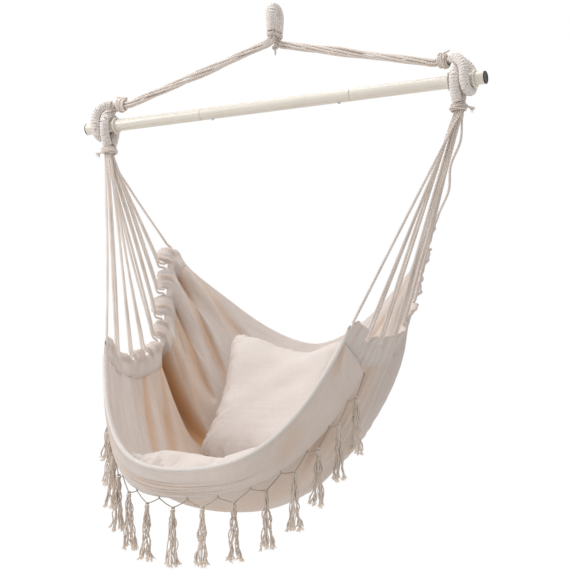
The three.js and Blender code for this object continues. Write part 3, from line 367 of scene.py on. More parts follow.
# %% Cotton rope
def cotton_finish(name, light, dark, fibre_depth):
    finish, tree, shader = new_finish(name, sheen=0.12)
    place = own_place(tree)
    long_run = noise(tree, place, 14.0, 2.0)
    fibre = noise(tree, place, 900.0, 3.0, 0.65)
    tuft = noise(tree, place, 260.0, 2.0)
    mottle = plus(tree, times(tree, long_run, 0.5), times(tree, fibre, 0.5))
    colour = blend_tones(tree, stretch(tree, mottle, 0.36, 0.62), dark, light)
    roughness = stretch(tree, fibre, 0.3, 0.7, 0.82, 0.98)
    height = plus(tree, times(tree, fibre, 0.6), tuft)
    dress(tree, shader, colour, roughness, height, 0.5, fibre_depth)
    return finish


rope_finish = cotton_finish("cotton_rope", tone(247, 238, 231), tone(226, 213, 203), 0.0003)
wrap_finish = cotton_finish("served_cord", tone(255, 248, 244), tone(247, 238, 232), 0.0002)
print("finishes so far:", [m.name for m in bpy.data.materials])

# %% [markdown]
# ## The hanging eye
# The eye is a thick rope bent double and served, which means wound all over with thin cord so that the hook
# cannot chafe it. The core could be left out, since the winding hides it, but it shows at the neck.
# The winding is one cord that circles the core's line. Inside a bend there is less room, so the turns follow
# the room that is left, as a rigger packs them. Between the turns a laid bundle shows over the thinner core.

# %% Core and winding
BAR_HEIGHT = -212 * MM
HANGER_LIMB = 12.2 * MM
HANGER_HALF_GAP = 18.5 * MM
HANGER_NECK = (15.4 * MM, 34 * MM)
HANGER_THROAT = (12.6 * MM, 52 * MM)
HANGER_SERVED_DROP = 44 * MM
HANGER_ROPE, HANGER_LAY = 13.6 * MM, 34 * MM
HANGER_BUNDLE, BUNDLE_LAY = 21.8 * MM, 40 * MM
HANGER_TURNS = 27
HANGER_WIND_RADIUS, HANGER_CORD = 9.7 * MM, (2.6 * MM, 3.9 * MM)
EYE_STEPS = 400
STEPS_PER_TURN = 26
SERVING_LAY, SERVING_CREASE = 9 * MM, 0.05
BEND_PACKING, CLOSEST_PACKING = 0.5, 0.4


def hanging_eye_line():
    centre = HANGER_LIMB - HANGER_HALF_GAP

    def limb(sign):
        angles = [math.pi / 2 * (1 - share) for share in (0.28, 0.55, 0.85)]
        arc = [
            (0, sign * HANGER_HALF_GAP * math.cos(a), centre + HANGER_HALF_GAP * math.sin(a))
            for a in angles
        ]
        neck = [(0, sign * HANGER_HALF_GAP, centre), (0, sign * HANGER_NECK[0], -HANGER_NECK[1])]
        return arc + neck

    start = (0, -HANGER_THROAT[0], -HANGER_THROAT[1])
    end = (0, HANGER_THROAT[0], -HANGER_THROAT[1])
    return smooth_line([start, *limb(-1)[::-1], (0, 0, HANGER_LIMB), *limb(1), end], EYE_STEPS)


def served_part(line, is_served):
    return evenly(line[[bool(is_served(p)) for p in line]], EYE_STEPS)


def winding(line, turns, wind_radius, thick, wide):
    """One laid cord wound in turns round the line, packed closer where the line bends."""
    tangents, normals, sides = carried_axes(line, LEFT)
    bends = np.zeros(len(line))
    steps = np.linalg.norm(np.diff(line, axis=0), axis=1)
    cosines = np.clip((tangents[:-1] * tangents[1:]).sum(1), -1, 1)
    bends[1:] = np.arccos(cosines) / steps
    room = 1 - np.minimum(bends * wind_radius * BEND_PACKING, CLOSEST_PACKING)
    packed = np.concatenate([[0], np.cumsum(room[1:])])
    share = np.linspace(0, 1, turns * STEPS_PER_TURN + 1)
    at = np.interp(share * packed[-1], packed, np.arange(len(line)))

    def at_turns(rows):
        return rows_at(at, np.arange(len(line)), rows)

    angle = (2 * np.pi * turns * share)[:, None]
    radial = np.cos(angle) * unit(at_turns(normals)) + np.sin(angle) * unit(at_turns(sides))
    centres = at_turns(line) + radial * wind_radius
    around, lobes = lobed_ring(SERVING_CREASE)
    angles = around[None, :] + (2 * np.pi * walked_along(centres) / SERVING_LAY)[:, None]
    out, over = thick * lobes * np.cos(angles), wide * lobes * np.sin(angles)
    return rings_along(centres, out, radial, over, unit(at_turns(tangents)))


def serving(line, turns, wind_radius, thick, wide, bundle):
    """A winding with the laid bundle that shows between its turns."""
    under = laid_cord(line[2:-2], bundle, BUNDLE_LAY, start=LEFT)
    return together([winding(line, turns, wind_radius, thick, wide), under])


hanger_line = hanging_eye_line()
hanger_core = laid_cord(hanger_line, HANGER_ROPE, HANGER_LAY, start=LEFT)
make_piece(
    "hanging_eye_rope", hanger_core, "suspension", rope_finish, ["hanging_eye_core"]
)
hanger_served = served_part(hanger_line, lambda p: p[2] > -HANGER_SERVED_DROP)
hanger_wrap = serving(
    hanger_served, HANGER_TURNS, HANGER_WIND_RADIUS, *HANGER_CORD, HANGER_BUNDLE
)
make_piece(
    "hanging_eye_wrap", hanger_wrap, "suspension", wrap_finish,
    ["hanging_eye_serving"],
)
print("hanging eye: rope", round(length_of(hanger_line), 3), "m, turns", HANGER_TURNS)

# %% [markdown]
# ## The throat whipping, its knot and tail
# Under the eye a few turns of cord squeeze the two limbs together, and their end is knotted and left to hang.
# A plain band would read as metal, so the turns are a real cord led round both limbs, the knot is a true
# overhand knot, and the tail ends in loose fibres.

# %% Whipping, knot and frayed tail
WHIPPING_STEPS = 48
WHIPPING_LAY, SHORT_LAY = 9 * MM, 11 * MM
WHIPPING_CORD, TAIL_CORD = 4.4 * MM, 4.6 * MM
THROAT_BEND, THROAT_CORD = 10.9 * MM, 3.4 * MM
THROAT_TOP, THROAT_BOTTOM = -48.6 * MM, -55.6 * MM
THROAT_TURNS = 3
KNOT_STEPS = 90
ROPE_SEED = 11
rng = np.random.default_rng(ROPE_SEED)


def racetrack_whipping(half_long, radius, top, bottom, turns, diameter):
    bend, straight = math.pi * radius, 2 * half_long
    lap = 2 * math.pi * radius + 4 * half_long
    walk = np.linspace(0, turns * lap, turns * WHIPPING_STEPS + 1)
    places = []
    for w in walk:
        s = w % lap
        drop = top + (bottom - top) * w / walk[-1]
        if s < bend:
            a = s / radius
            y, x = half_long + radius * math.sin(a), radius * math.cos(a)
        elif s < bend + straight:
            y, x = half_long - (s - bend), -radius
        elif s < 2 * math.pi * radius + straight:
            a = (s - bend - straight) / radius
            y, x = -half_long - radius * math.sin(a), -radius * math.cos(a)
        else:
            y, x = -half_long + (s - 2 * math.pi * radius - straight), radius
        places.append((x, y, drop))
    return laid_cord(np.array(places), diameter, WHIPPING_LAY, start=UP)


def overhand_knot(centre, size, diameter):
    t = np.linspace(0.15, 2 * np.pi - 0.15, KNOT_STEPS)
    line = np.column_stack(
        [np.sin(t) + 2 * np.sin(2 * t), np.cos(t) - 2 * np.cos(2 * t), -1.25 * np.sin(3 * t)]
    )
    return laid_cord(
        line * size + np.asarray(centre), diameter, WHIPPING_LAY, start=(0.3, 0.2, 1)
    )


def frayed_end(tip, direction, length, spread, fibres, thickness=0.5 * MM):
    """Loose fibres that flare from a cut end."""
    tip, direction = np.asarray(tip, float), unit(np.asarray(direction, float))
    parts = []
    for _ in range(fibres):
        out = rng.normal(size=3)
        out = unit(out - direction * (out @ direction)) * spread * rng.uniform(0.2, 1)
        reach = length * rng.uniform(0.6, 1)
        bend = rng.normal(size=3) * spread * 0.25
        share = np.linspace(0, 1, 6)[:, None]
        line = tip + direction * reach * share + out * share**1.4 + bend * share**2 - out * 0.1
        radii = [thickness, thickness * 0.8, thickness * 0.25]
        parts.append(plain_yarn(line, radii, 4, (0.31, 0.59, 0.74)))
    return together(parts)


throat_turns = racetrack_whipping(
    HANGER_THROAT[0], THROAT_BEND, THROAT_TOP, THROAT_BOTTOM, THROAT_TURNS, THROAT_CORD
)
throat_lead = mm([(-11, 0, -50), (0, -2, -53), (11, 0, -54.5)])
throat_drop = smooth_line(mm([(0, 0, -53), (0.5, 1, -64), (0, 0, -75)]), 20)
throat_tail = smooth_line(mm([(0, 0, -83), (1.5, 0, -90), (1, 0, -95)]), 20)
throat = together(
    [
        throat_turns,
        laid_cord(throat_lead, WHIPPING_CORD, SHORT_LAY),
        laid_cord(throat_drop, TAIL_CORD, SHORT_LAY),
        overhand_knot(mm((0, 0, -80)), 2.0 * MM, WHIPPING_CORD),
        laid_cord(throat_tail, TAIL_CORD, SHORT_LAY),
        frayed_end(mm((1, 0, -94)), (0.1, 0, -1), length=5 * MM, spread=2.5 * MM, fibres=14),
    ]
)
make_piece("throat_whipping", throat, "suspension", rope_finish, ["throat_binding"])
print("throat whipping faces:", len(throat[1]))

# %% [markdown]
# ## The legs
# Each leg is six strands that leave one limb of the eye, bend over the whipping and run to the bar's end with
# a loose twist of three quarters of a turn. One thick rope would be simpler, but in the photograph light
# shows between the strands, so each is its own laid cord, and every one bows by its own small amount.

# %% Leg strands
STRANDS = 6
STRAND_DIAMETER, STRAND_LAY, STRAND_CREASE = 5.8 * MM, 21 * MM, 0.2
STRAND_RING, STRAND_STEPS = 6.5 * MM, 200
LEG_TURNS = 0.75
LEG_STEPS = 24
LEG_BEND = 15 * MM
LIMB = 11 * MM
TUBE_RADIUS = 14 * MM
EYE_SLACK = 0.7 * MM
RING_RADIUS = TUBE_RADIUS + LIMB - 0.8 * MM
OVER_RADIUS = RING_RADIUS + 2 * LIMB + EYE_SLACK
LOWER_EYE_PLACE = 437 * MM
UPPER_EYE_PLACE = LOWER_EYE_PLACE + 2 * LIMB + EYE_SLACK
LEG_END = 398 * MM


def leg_line():
    start_drop, bend_drop = 53.3 * MM, 56.8 * MM
    end = LEG_END - 1.3 * MM
    level = end - 16 * MM
    height = OVER_RADIUS + BAR_HEIGHT
    slope = math.atan2(-bend_drop - LEG_BEND - height, level)
    side_step = HANGER_THROAT[0]
    points = [(0, side_step, -start_drop), (0, side_step, -bend_drop)]
    for share in (0.45, 1):
        turn = share * (math.pi / 2 - slope)
        x = LEG_BEND * (1 - math.cos(turn))
        points.append((x, side_step, -bend_drop - LEG_BEND * math.sin(turn)))
    twists = [0.0] * len(points)
    begin, finish = np.array(points[-1]), np.array((level, 0, height))
    for step in range(1, LEG_STEPS + 1):
        share = step / LEG_STEPS
        points.append(tuple(begin + (finish - begin) * share))
        twists.append(2 * math.pi * LEG_TURNS * share)
    points.append((end, 0, height))
    twists.append(twists[-1])
    return np.array(points), np.array(twists)


def leg_strand(number, turned_round):
    line, twists = leg_line()
    _, normals, sides = carried_axes(line, BACK)
    angle = 2 * math.pi * number / STRANDS + twists
    share = np.linspace(0, 1, len(line))
    bow = np.sin(np.pi * np.clip((share - 0.12) / 0.8, 0, 1)) ** 2
    ring = STRAND_RING * (1 + bow * rng.uniform(-0.25, 0.45))
    wander = bow * rng.uniform(-0.35, 0.35)
    route = (
        line
        + (ring * np.cos(angle + wander))[:, None] * normals
        + (ring * np.sin(angle + wander))[:, None] * sides
    )
    route[:, 2] -= bow * rng.uniform(0, 1.5) * MM
    turn = rng.uniform(0, 6)
    smooth = smooth_line(route, STRAND_STEPS)
    part = laid_cord(smooth, STRAND_DIAMETER, STRAND_LAY, turn=turn, crease=STRAND_CREASE)
    if turned_round:
        part = (part[0] * (-1, -1, 1), part[1])
    return part, length_of(route)


for side, turned_round in (("right", False), ("left", True)):
    lengths = []
    for number in range(STRANDS):
        part, long = leg_strand(number, turned_round)
        name = f"{side}_leg_strand_{number + 1}"
        make_piece(f"{name}_laid", part, "suspension", rope_finish, [name])
        lengths.append(long)
    print(side, "leg strands, metres:", [round(x, 3) for x in lengths])

# %% [markdown]
# ## The eyes at the bar's ends
# Each end of the bar passes through two served eyes: the upper one hangs the bar from the leg, and the lower
# one carries the fan of cords. They are wound like the hanging eye. Turns about six millimetres apart, each
# pressed wider than that, give the ribbed look of the photograph. The solids could only afford a few wide
# flat turns. Each shape is made once and mirrored for the other end.

# %% Upper and lower eyes
UPPER_REACH = [0, 0.2, 0.42, 0.68, 0.89, 1, 1, 1]
UPPER_SPREAD = [1, 1.02, 0.95, 0.7, 0.98, 1.09, 1.07, 0.79]
UPPER_RISE = [1, 1, 1.02, 0.98, 0.74, 0.37, 0.01, -0.38]
CORE_SPREAD = 4.5 * MM
CORE_TO_ROPE = 1.15
EYE_ROPE, EYE_ROPE_LAY = 8.4 * MM * CORE_TO_ROPE, 24 * MM
WIND_RADIUS, WIND_THICK = 8.6 * MM, 2.5 * MM
UPPER_PITCH, UPPER_WIDE = 6.3 * MM, 4.7 * MM
LOWER_PITCH, LOWER_WIDE = 6.0 * MM, 4.6 * MM
LOWER_SERVED_DROP = 47 * MM
UNDER_WINDING = 20.2 * MM


def upper_eye_line():
    reach = UPPER_EYE_PLACE - LEG_END
    spreads = [CORE_SPREAD, CORE_SPREAD, LIMB] + [RING_RADIUS] * 5

    def half(sign):
        return [
            (LEG_END + reach * r, sign * s * spread, OVER_RADIUS * rise + BAR_HEIGHT)
            for r, s, rise, spread in zip(UPPER_REACH, UPPER_SPREAD, UPPER_RISE, spreads)
        ]

    bottom = (UPPER_EYE_PLACE, 0, BAR_HEIGHT - RING_RADIUS)
    return smooth_line([*half(-1), bottom, *half(1)[::-1]], EYE_STEPS)


def lower_eye_line():
    def half(sign):
        return [
            (LOWER_EYE_PLACE, sign * CORE_SPREAD, BAR_HEIGHT - 54 * MM),
            (LOWER_EYE_PLACE, sign * (LIMB + EYE_SLACK), BAR_HEIGHT - 43 * MM),
            (LOWER_EYE_PLACE, sign * RING_RADIUS * 0.87, BAR_HEIGHT - RING_RADIUS * 0.85),
        ]

    angles = [math.pi * (1.06 - 1.12 * k / 6) for k in range(7)]
    arc = [
        (LOWER_EYE_PLACE, RING_RADIUS * math.cos(a), BAR_HEIGHT + RING_RADIUS * math.sin(a))
        for a in angles
    ]
    return smooth_line([*half(-1), *arc, *half(1)[::-1]], EYE_STEPS)


def both_sides(name, part, body, finish, node):
    """The piece at the sitter's right-hand end, and its mirror image at the other end."""
    for side, shape in (("right", part), ("left", mirrored(part))):
        make_piece(f"{side}_{name}", shape, body, finish, [f"{side}_{node}"])


def served_eye(name, line, is_served, body, start, pitch, wide):
    """A laid core and its serving, at both ends of the bar. Returns the number of turns."""
    core = laid_cord(line, EYE_ROPE, EYE_ROPE_LAY, start=start)
    both_sides(f"{name}_rope", core, body, rope_finish, f"{name}_core")
    served = served_part(line, is_served)
    turns = round(length_of(served) / pitch)
    wrap = serving(served, turns, WIND_RADIUS, WIND_THICK, wide, UNDER_WINDING)
    both_sides(f"{name}_wrap", wrap, body, wrap_finish, f"{name}_serving")
    return turns


def upper_is_served(place):
    return abs(place[1]) > LIMB + EYE_SLACK / 2 or place[2] < BAR_HEIGHT


def lower_is_served(place):
    return place[2] > BAR_HEIGHT - LOWER_SERVED_DROP


upper_turns = served_eye(
    "upper_eye", upper_eye_line(), upper_is_served, "suspension", UP, UPPER_PITCH, UPPER_WIDE
)
lower_turns = served_eye(
    "lower_eye", lower_eye_line(), lower_is_served, "sling", LEFT, LOWER_PITCH, LOWER_WIDE
)
print("turns on the upper eye", upper_turns, "and on the lower eye", lower_turns)

# %% [markdown]
# ## Whippings at the leg ends and over the fans
# Where six strands meet an eye, and where sixteen cord ends meet the lower eye, they are whipped: a thin cord
# wound tight in touching turns and left with a frayed tail. A coil alone looks made by a machine, so two
# slack turns ride over it at a slant, one each way, as a hand leaves them.

# %% Leg and fan whippings
ROUND_STEPS, ROUND_LAY = 30, 10 * MM
RIDING_CORD, RIDING_ROUND = 3.6 * MM, 2.1
LEG_WHIPPING_RADIUS, LEG_WHIPPING_END = 12.4 * MM, LEG_END + 17 * MM
FAN_WHIPPING_RADIUS, FAN_WHIPPING_END = 15.4 * MM, 15 * MM
FAN_TAIL_CORD = 5.4 * MM
LEG_WHIPPING_TURNS, FAN_WHIPPING_TURNS = 6, 4
TAIL_STEPS = 30


def round_whipping(radius, start, end, turns, diameter, squash=1.0):
    share = np.linspace(0, 1, turns * ROUND_STEPS + 1)
    angle = 2 * np.pi * turns * share
    line = np.column_stack(
        [start + (end - start) * share, radius * np.cos(angle), radius * squash * np.sin(angle)]
    )
    return laid_cord(line, diameter, ROUND_LAY, start=LEFT)


def riding_turns(radius, start, end):
    there = round_whipping(radius + 3.0 * MM, start + 1 * MM, end - 1 * MM, 1, RIDING_CORD, 0.97)
    back = round_whipping(radius + 3.4 * MM, end - 2 * MM, start + 3 * MM, 1, RIDING_CORD)
    cosine, sine = math.cos(RIDING_ROUND), math.sin(RIDING_ROUND)
    places = back[0].copy()
    places[:, 1] = back[0][:, 1] * cosine - back[0][:, 2] * sine
    places[:, 2] = back[0][:, 1] * sine + back[0][:, 2] * cosine
    return together([there, (places, back[1])])


def leg_whipping():
    start = LEG_END - 4 * MM
    turns = round_whipping(
        LEG_WHIPPING_RADIUS, start, LEG_WHIPPING_END, LEG_WHIPPING_TURNS, WHIPPING_CORD
    )
    tail_line = smooth_line(mm([(5, 0, 12), (10, 1, 18), (22, 0, 21)]) + (start, 0, 0), TAIL_STEPS)
    tail = laid_cord(tail_line, TAIL_CORD, SHORT_LAY)
    knot = overhand_knot((start + 3 * MM, 0, 15 * MM), 1.9 * MM, 4.0 * MM)
    fray = frayed_end(tail_line[-1], (1, 0, 0.15), length=5 * MM, spread=2.5 * MM, fibres=12)
    riding = riding_turns(LEG_WHIPPING_RADIUS, start, LEG_WHIPPING_END)
    places, faces = together([turns, riding, tail, knot, fray])
    return places + (0, 0, OVER_RADIUS + BAR_HEIGHT), faces


def fan_whipping():
    turns = round_whipping(
        FAN_WHIPPING_RADIUS, 0, FAN_WHIPPING_END, FAN_WHIPPING_TURNS, WHIPPING_CORD
    )
    riding = riding_turns(FAN_WHIPPING_RADIUS, 0, FAN_WHIPPING_END)
    places, faces = together([turns, riding])
    turned = places[:, [2, 1, 0]] * (1, 1, -1)
    tail_line = smooth_line(mm([(15, 0, -8), (22, 1, -8), (28, 0, -11)]), TAIL_STEPS)
    tail = laid_cord(tail_line, FAN_TAIL_CORD, SHORT_LAY)
    fray_start = tail_line[-1] - mm((4, 0, 0))
    fray = frayed_end(
        fray_start, (1, 0, -0.5), length=14 * MM, spread=9 * MM, fibres=46, thickness=0.6 * MM
    )
    places, faces = together([(turned, faces), tail, fray])
    return places + (LOWER_EYE_PLACE, 0, BAR_HEIGHT - 51 * MM), faces


for name, shape, body, node in (
    ("leg_whipping", leg_whipping(), "suspension", "leg_binding"),
    ("fan_whipping", fan_whipping(), "sling", "fan_seizing"),
):
    both_sides(name, shape, body, rope_finish, node)
    print(name, "faces, each side:", len(shape[1]))

# %% [markdown]
# ## The shape of the sling
# The canvas hangs like a scoop: a curved side hem on each side, a profile line down the middle, and cross
# lines between them that sag and rise again. It could be draped by simulation, but the photograph fixes its
# outline closely, so the surface is worked out from those two lines, and the folds are laid on after.

# %% Hem, profile and cross lines
HEM_HALF_SPAN = 331 * MM
HEM_FRONT, HEM_BACK = 229 * MM, 121 * MM
HEM_LOW_DROP = 566 * MM
RIM_FRONT, CLOTH_BACK = 380 * MM, 218 * MM
BOWL_DROP = 904 * MM
HEM_FALL = 16.3 * MM
HEM_TANGENT_STEP, JUST_INSIDE = 0.004, 0.97
TABS = 8
HEM_SPANS = [0.873, 0.894, 0.897, 0.915, 0.912, 0.93, 0.955, 0.972, 1.0, 1]
HEM_REACHES = [0, 0.16, 0.317, 0.497, 0.665, 0.74, 0.809, 0.858, 0.917, 1]
HEM_DROPS = [0.945, 0.991, 1, 0.977, 0.924, 0.862, 0.754, 0.647, 0.535, 0.495]
PROFILE_REACHES = [0, 0.05, 0.184, 0.351, 0.535, 0.686, 0.803, 0.911, 1]
PROFILE_DROPS = [0.9115, 0.958, 0.991, 1, 0.987, 0.927, 0.816, 0.695, 0.57]
LINE_STEPS = 800

hem_line = smooth_line(
    [
        (s * HEM_HALF_SPAN, -HEM_FRONT + r * (HEM_FRONT + HEM_BACK), BAR_HEIGHT - d * HEM_LOW_DROP)
        for s, r, d in zip(HEM_SPANS, HEM_REACHES, HEM_DROPS)
    ],
    LINE_STEPS,
)
profile_line = smooth_line(
    [
        (0, -RIM_FRONT + r * (RIM_FRONT + CLOTH_BACK), BAR_HEIGHT - d * BOWL_DROP)
        for r, d in zip(PROFILE_REACHES, PROFILE_DROPS)
    ],
    LINE_STEPS,
)


def on_line(line, share):
    return rows_at(np.clip(share, 0, 1) * (len(line) - 1), np.arange(len(line)), line)


def cross_line(edge, centre, across, along):
    """The point at a share across from the middle to the edge, on the cross line at a share along."""
    steep = np.maximum(0.7 - 0.8 * along, 0)
    soft = np.maximum(along - 0.75, 0) * 1.2
    rise = (1 - steep) * across ** (2 - soft) + steep * across**4
    reach = across ** (3 - along)
    x = edge[..., 0] * across
    y = centre[..., 1] + (edge[..., 1] - centre[..., 1]) * reach
    z = centre[..., 2] + (edge[..., 2] - centre[..., 2]) * rise
    return np.stack([x, y, z], axis=-1)


def hem_axes(along):
    """Edge and middle points, the way up out of the cloth and square to it, at shares along."""
    along = np.asarray(along, float)
    edge, centre = on_line(hem_line, along), on_line(profile_line, along)
    ahead = on_line(hem_line, np.minimum(along + HEM_TANGENT_STEP, 1))
    behind = on_line(hem_line, np.maximum(along - HEM_TANGENT_STEP, 0))
    tangent = unit(ahead - behind)
    inward = cross_line(edge, centre, JUST_INSIDE, along) - edge
    up = -unit(inward - tangent * (inward * tangent).sum(-1, keepdims=True))
    return edge, centre, up, np.cross(tangent, up)


def cloth_point(across, along):
    """A point of the sling's middle surface. across is -1 to 1, along 0 at the front to 1 at the back."""
    across, along = np.broadcast_arrays(np.asarray(across, float), np.asarray(along, float))
    edge, centre, up, _ = hem_axes(along)
    place = cross_line(edge - up * HEM_FALL, centre, np.abs(across), along)
    place[..., 0] *= np.sign(across)
    return place


print("hem", round(length_of(hem_line), 3), "m, profile", round(length_of(profile_line), 3), "m")

# %% [markdown]
# ## The fans of cord
# One length of cord passes down through a notch in the hem, along inside the tab, up through the next notch
# and back to the eye, eight times a side. The straight parts could be cylinders, but real cords differ in
# slack, so each leg bows slightly, and the last one at the back hangs slack and snakes. The whipping squeezes
# the cords thinner at the top. At the notch a small smooth bend leads each one into the hem.

# %% Fan cords
FAN_GROUPS = 4
LOOPS_PER_GROUP = 2
FAN_CORD, FAN_LAY, FAN_CREASE = 6.2 * MM, 22 * MM, 0.42
FAN_SWELL = ([0, 0.03, 0.14, 0.86, 0.97, 1], [0.74, 0.76, 1, 1, 0.76, 0.74])
BACK_SLACK = 14 * MM
ROW_PITCH, COLUMN_PITCH = 4.8 * MM, 4.6 * MM
FAN_TOP_DROP, FAN_STRAIGHT_DROP = 52 * MM, 69.6 * MM
NOTCH_SPREAD, CORD_BEND, CORD_RISE = 5.5 * MM, 4 * MM, 17 * MM
BOW_STEPS, SNAKE_STEPS, LOOP_STEPS = 14, 18, 700


def slight_bow(share):
    return np.sin(np.pi * share) ** 1.3 * share**0.5


def snaking(share):
    return np.sin(np.pi * share) * (0.55 + 0.45 * np.sin(share * 11 - 0.6))


def run_between(first, last, steps, bow, sway, amount):
    """A straight run of cord pushed sideways by the bow's share at each point."""
    share = np.linspace(0, 1, steps)[1:-1]
    line = first + (last - first) * share[:, None]
    return list(line + np.outer(bow(share), sway) * amount)


def fan_loop(tab, first_top, second_top, slack=0.0):
    """One cord, down through a notch, along inside the tab and up through the next notch."""
    edges, _, ups, _ = hem_axes(np.array([2 * tab, 2 * tab + 1, 2 * tab + 2]) / (2 * TABS))
    ahead, behind = unit(edges[1] - edges[0]), unit(edges[1] - edges[2])

    def arrive(edge, up, inwards, top, slack=0.0):
        mouth = edge + inwards * NOTCH_SPREAD
        above = mouth + up * CORD_RISE
        straight = np.array((top[0], top[1], BAR_HEIGHT - FAN_STRAIGHT_DROP))
        sway = unit(np.array((rng.normal() * 0.6, rng.normal(), 0.0)))
        amount = rng.uniform(0.5, 4.5) * MM
        run = run_between(straight, above, BOW_STEPS, slight_bow, sway, amount)
        if slack:
            run = run_between(straight, above, SNAKE_STEPS, snaking, (0.95, 0.3, 0), slack)
        return [top, tuple(straight), *run, above, mouth + up * CORD_BEND, mouth + inwards * CORD_BEND]

    down = arrive(edges[0], ups[0], ahead, first_top)
    back_up = arrive(edges[2], ups[2], behind, second_top, slack)
    return smooth_line([*down, edges[1], *back_up[::-1]], LOOP_STEPS)


def fan_group(group, slack=0.0):
    y = (group - (FAN_GROUPS - 1) / 2) * ROW_PITCH
    legs = 2 * LOOPS_PER_GROUP
    tops = []
    for leg in range(legs):
        column = leg if group % 2 == 0 else legs - 1 - leg
        x = LOWER_EYE_PLACE + ((legs - 1) / 2 - column) * COLUMN_PITCH
        tops.append((x, y, BAR_HEIGHT - FAN_TOP_DROP))
    first_tab = group * LOOPS_PER_GROUP
    lines = [
        fan_loop(first_tab + loop, tops[2 * loop], tops[2 * loop + 1], slack * loop)
        for loop in range(LOOPS_PER_GROUP)
    ]
    cords = []
    for line in lines:
        turn = rng.uniform(0, 6)
        cords.append(laid_cord(line, FAN_CORD, FAN_LAY, LEFT, turn, FAN_SWELL, FAN_CREASE))
    return together(cords), [round(length_of(line), 3) for line in lines]


for side in ("right", "left"):
    for group in range(FAN_GROUPS):
        hangs_slack = side == "right" and group == FAN_GROUPS - 1
        shape, lengths = fan_group(group, BACK_SLACK if hangs_slack else 0.0)
        shape = mirrored(shape) if side == "left" else shape
        name = f"{side}_fan_cords_{group + 1}"
        make_piece(f"{name}_laid", shape, "sling", rope_finish, [name])
        print(name, "loops, metres:", lengths)

# %% [markdown]
# ## Canvas finish
# The canvas is a plain weave, one warp thread over one weft thread, about one millimetre apart, with slubs
# where a thread is thicker. An image could carry that, but waves in the cloth's own coordinates stay sharp at
# any distance. Each cloth mesh therefore notes, at every point, how far along and across the bolt it lies.
# A second note says how deep in a fold the point is, and paints shade into the colour: painted bounce light
# makes a fold warmer and painted shade makes the deepest ones darker too, while a note below nothing paints
# a rim pale, as a painted highlight with some rubbed wear.

# %% Canvas and cushion cloth
WEAVE_PITCH = 1.1 * MM
WEAVE_DEPTH, WRINKLE_DEPTH = 0.00035, 0.006
DEEPEST_NOTE = 2.6
# Pale tone for the rim: a painted highlight with some rubbed wear.
PALE_RIM_HIGHLIGHT_AND_WEAR = tone(253, 249, 246)


def canvas_finish(name, light, dark, painted_bounce, deep, wrinkled):
    finish, tree, shader = new_finish(name, roughness=0.95, sheen=0.1)
    bolt = wire(tree, "Attribute", 1, {"attribute_name": "bolt_place"})
    fold = wire(tree, "Attribute", 2, {"attribute_name": "fold_depth"})
    split = tree.nodes.new("ShaderNodeSeparateXYZ")
    tree.links.new(bolt, split.inputs[0])
    across, along = split.outputs[0], split.outputs[1]
    turns = 2 * math.pi / (2 * WEAVE_PITCH)
    warp = sums(tree, "SINE", times(tree, across, turns))
    weft = sums(tree, "SINE", times(tree, along, turns))

    def streaks(run, width):
        x, y = times(tree, across, run), times(tree, along, width)
        return noise(tree, wire(tree, "CombineXYZ", X=x, Y=y), 1.0, 2.0)

    threads = plus(tree, streaks(36.0, 620.0), streaks(620.0, 36.0))
    place = own_place(tree)
    cloud = noise(tree, place, 6.0, 3.0)
    rumple = noise(tree, place, 34.0, 4.0, 0.55)
    mottle = plus(tree, times(tree, threads, 0.32), times(tree, cloud, 0.5))
    colour = blend_tones(tree, stretch(tree, mottle, 0.42, 0.72), dark, light)
    # Painted shade: the fold note blends in the warm tone of painted bounce light, then the deep tone of
    # painted shade.
    colour = blend_tones(tree, stretch(tree, fold, 0.0, 1.0), colour, painted_bounce)
    colour = blend_tones(tree, stretch(tree, fold, 1.0, DEEPEST_NOTE), colour, deep)
    # Below zero the note paints the rim pale: a painted highlight with some rubbed wear.
    rim_highlight_and_wear = stretch(tree, fold, -1.0, 0.0, 1.0, 0.0)
    colour = blend_tones(tree, rim_highlight_and_wear, colour, PALE_RIM_HIGHLIGHT_AND_WEAR)
    roughness = stretch(tree, threads, 0.7, 1.3, 0.86, 0.98)
    wrinkles = plus(tree, times(tree, rumple, 0.6), streaks(5.0, 48.0))
    soft = wire(tree, "Bump", Height=wrinkles, Strength=wrinkled, Distance=WRINKLE_DEPTH)
    fine = plus(tree, times(tree, times(tree, warp, weft), 0.5), threads)
    dress(tree, shader, colour, roughness, fine, 0.55, WEAVE_DEPTH, Normal=soft)
    return finish


# The fold tones are painted light: a warm tone for painted bounce light and a deep one for painted shade.
canvas = canvas_finish(
    "sling_canvas", light=tone(231, 222, 217), dark=tone(215, 204, 198),
    painted_bounce=tone(217, 176, 135), deep=tone(172, 130, 96), wrinkled=0.45,
)
cushion_cloth = canvas_finish(
    "cushion_cloth", light=tone(235, 226, 221), dark=tone(223, 212, 206),
    painted_bounce=tone(206, 176, 152), deep=tone(170, 138, 112), wrinkled=0.2,
)
thread_finish = cotton_finish("sewing_thread", tone(226, 216, 206), tone(206, 194, 183), 0.0001)
print("canvas threads lie", round(WEAVE_PITCH / MM, 1), "mm apart")

# %% [markdown]
# ## The sling's folds
# Each notch of the hem pulls a pleat up out of the cloth, and longer creases run from the back corners down
# towards the seat. The pleats repeat, so one wave along the hem makes them. The long creases are few and each
# has its own place in the photograph, so they are listed: where they start and end, how wide and deep
# they are, and how far one side leans over. On the belly at the right, narrow folds lie close together.

# %% How a crease shapes the cloth
FOLD_DEPTH = 9 * MM
SLING_SCALES = (0.36, 0.78)
SHARPER_FROM = 15 * MM


def smooth_step(low, high, value):
    t = np.clip((value - low) / (high - low), 0, 1)
    return t * t * (3 - 2 * t)


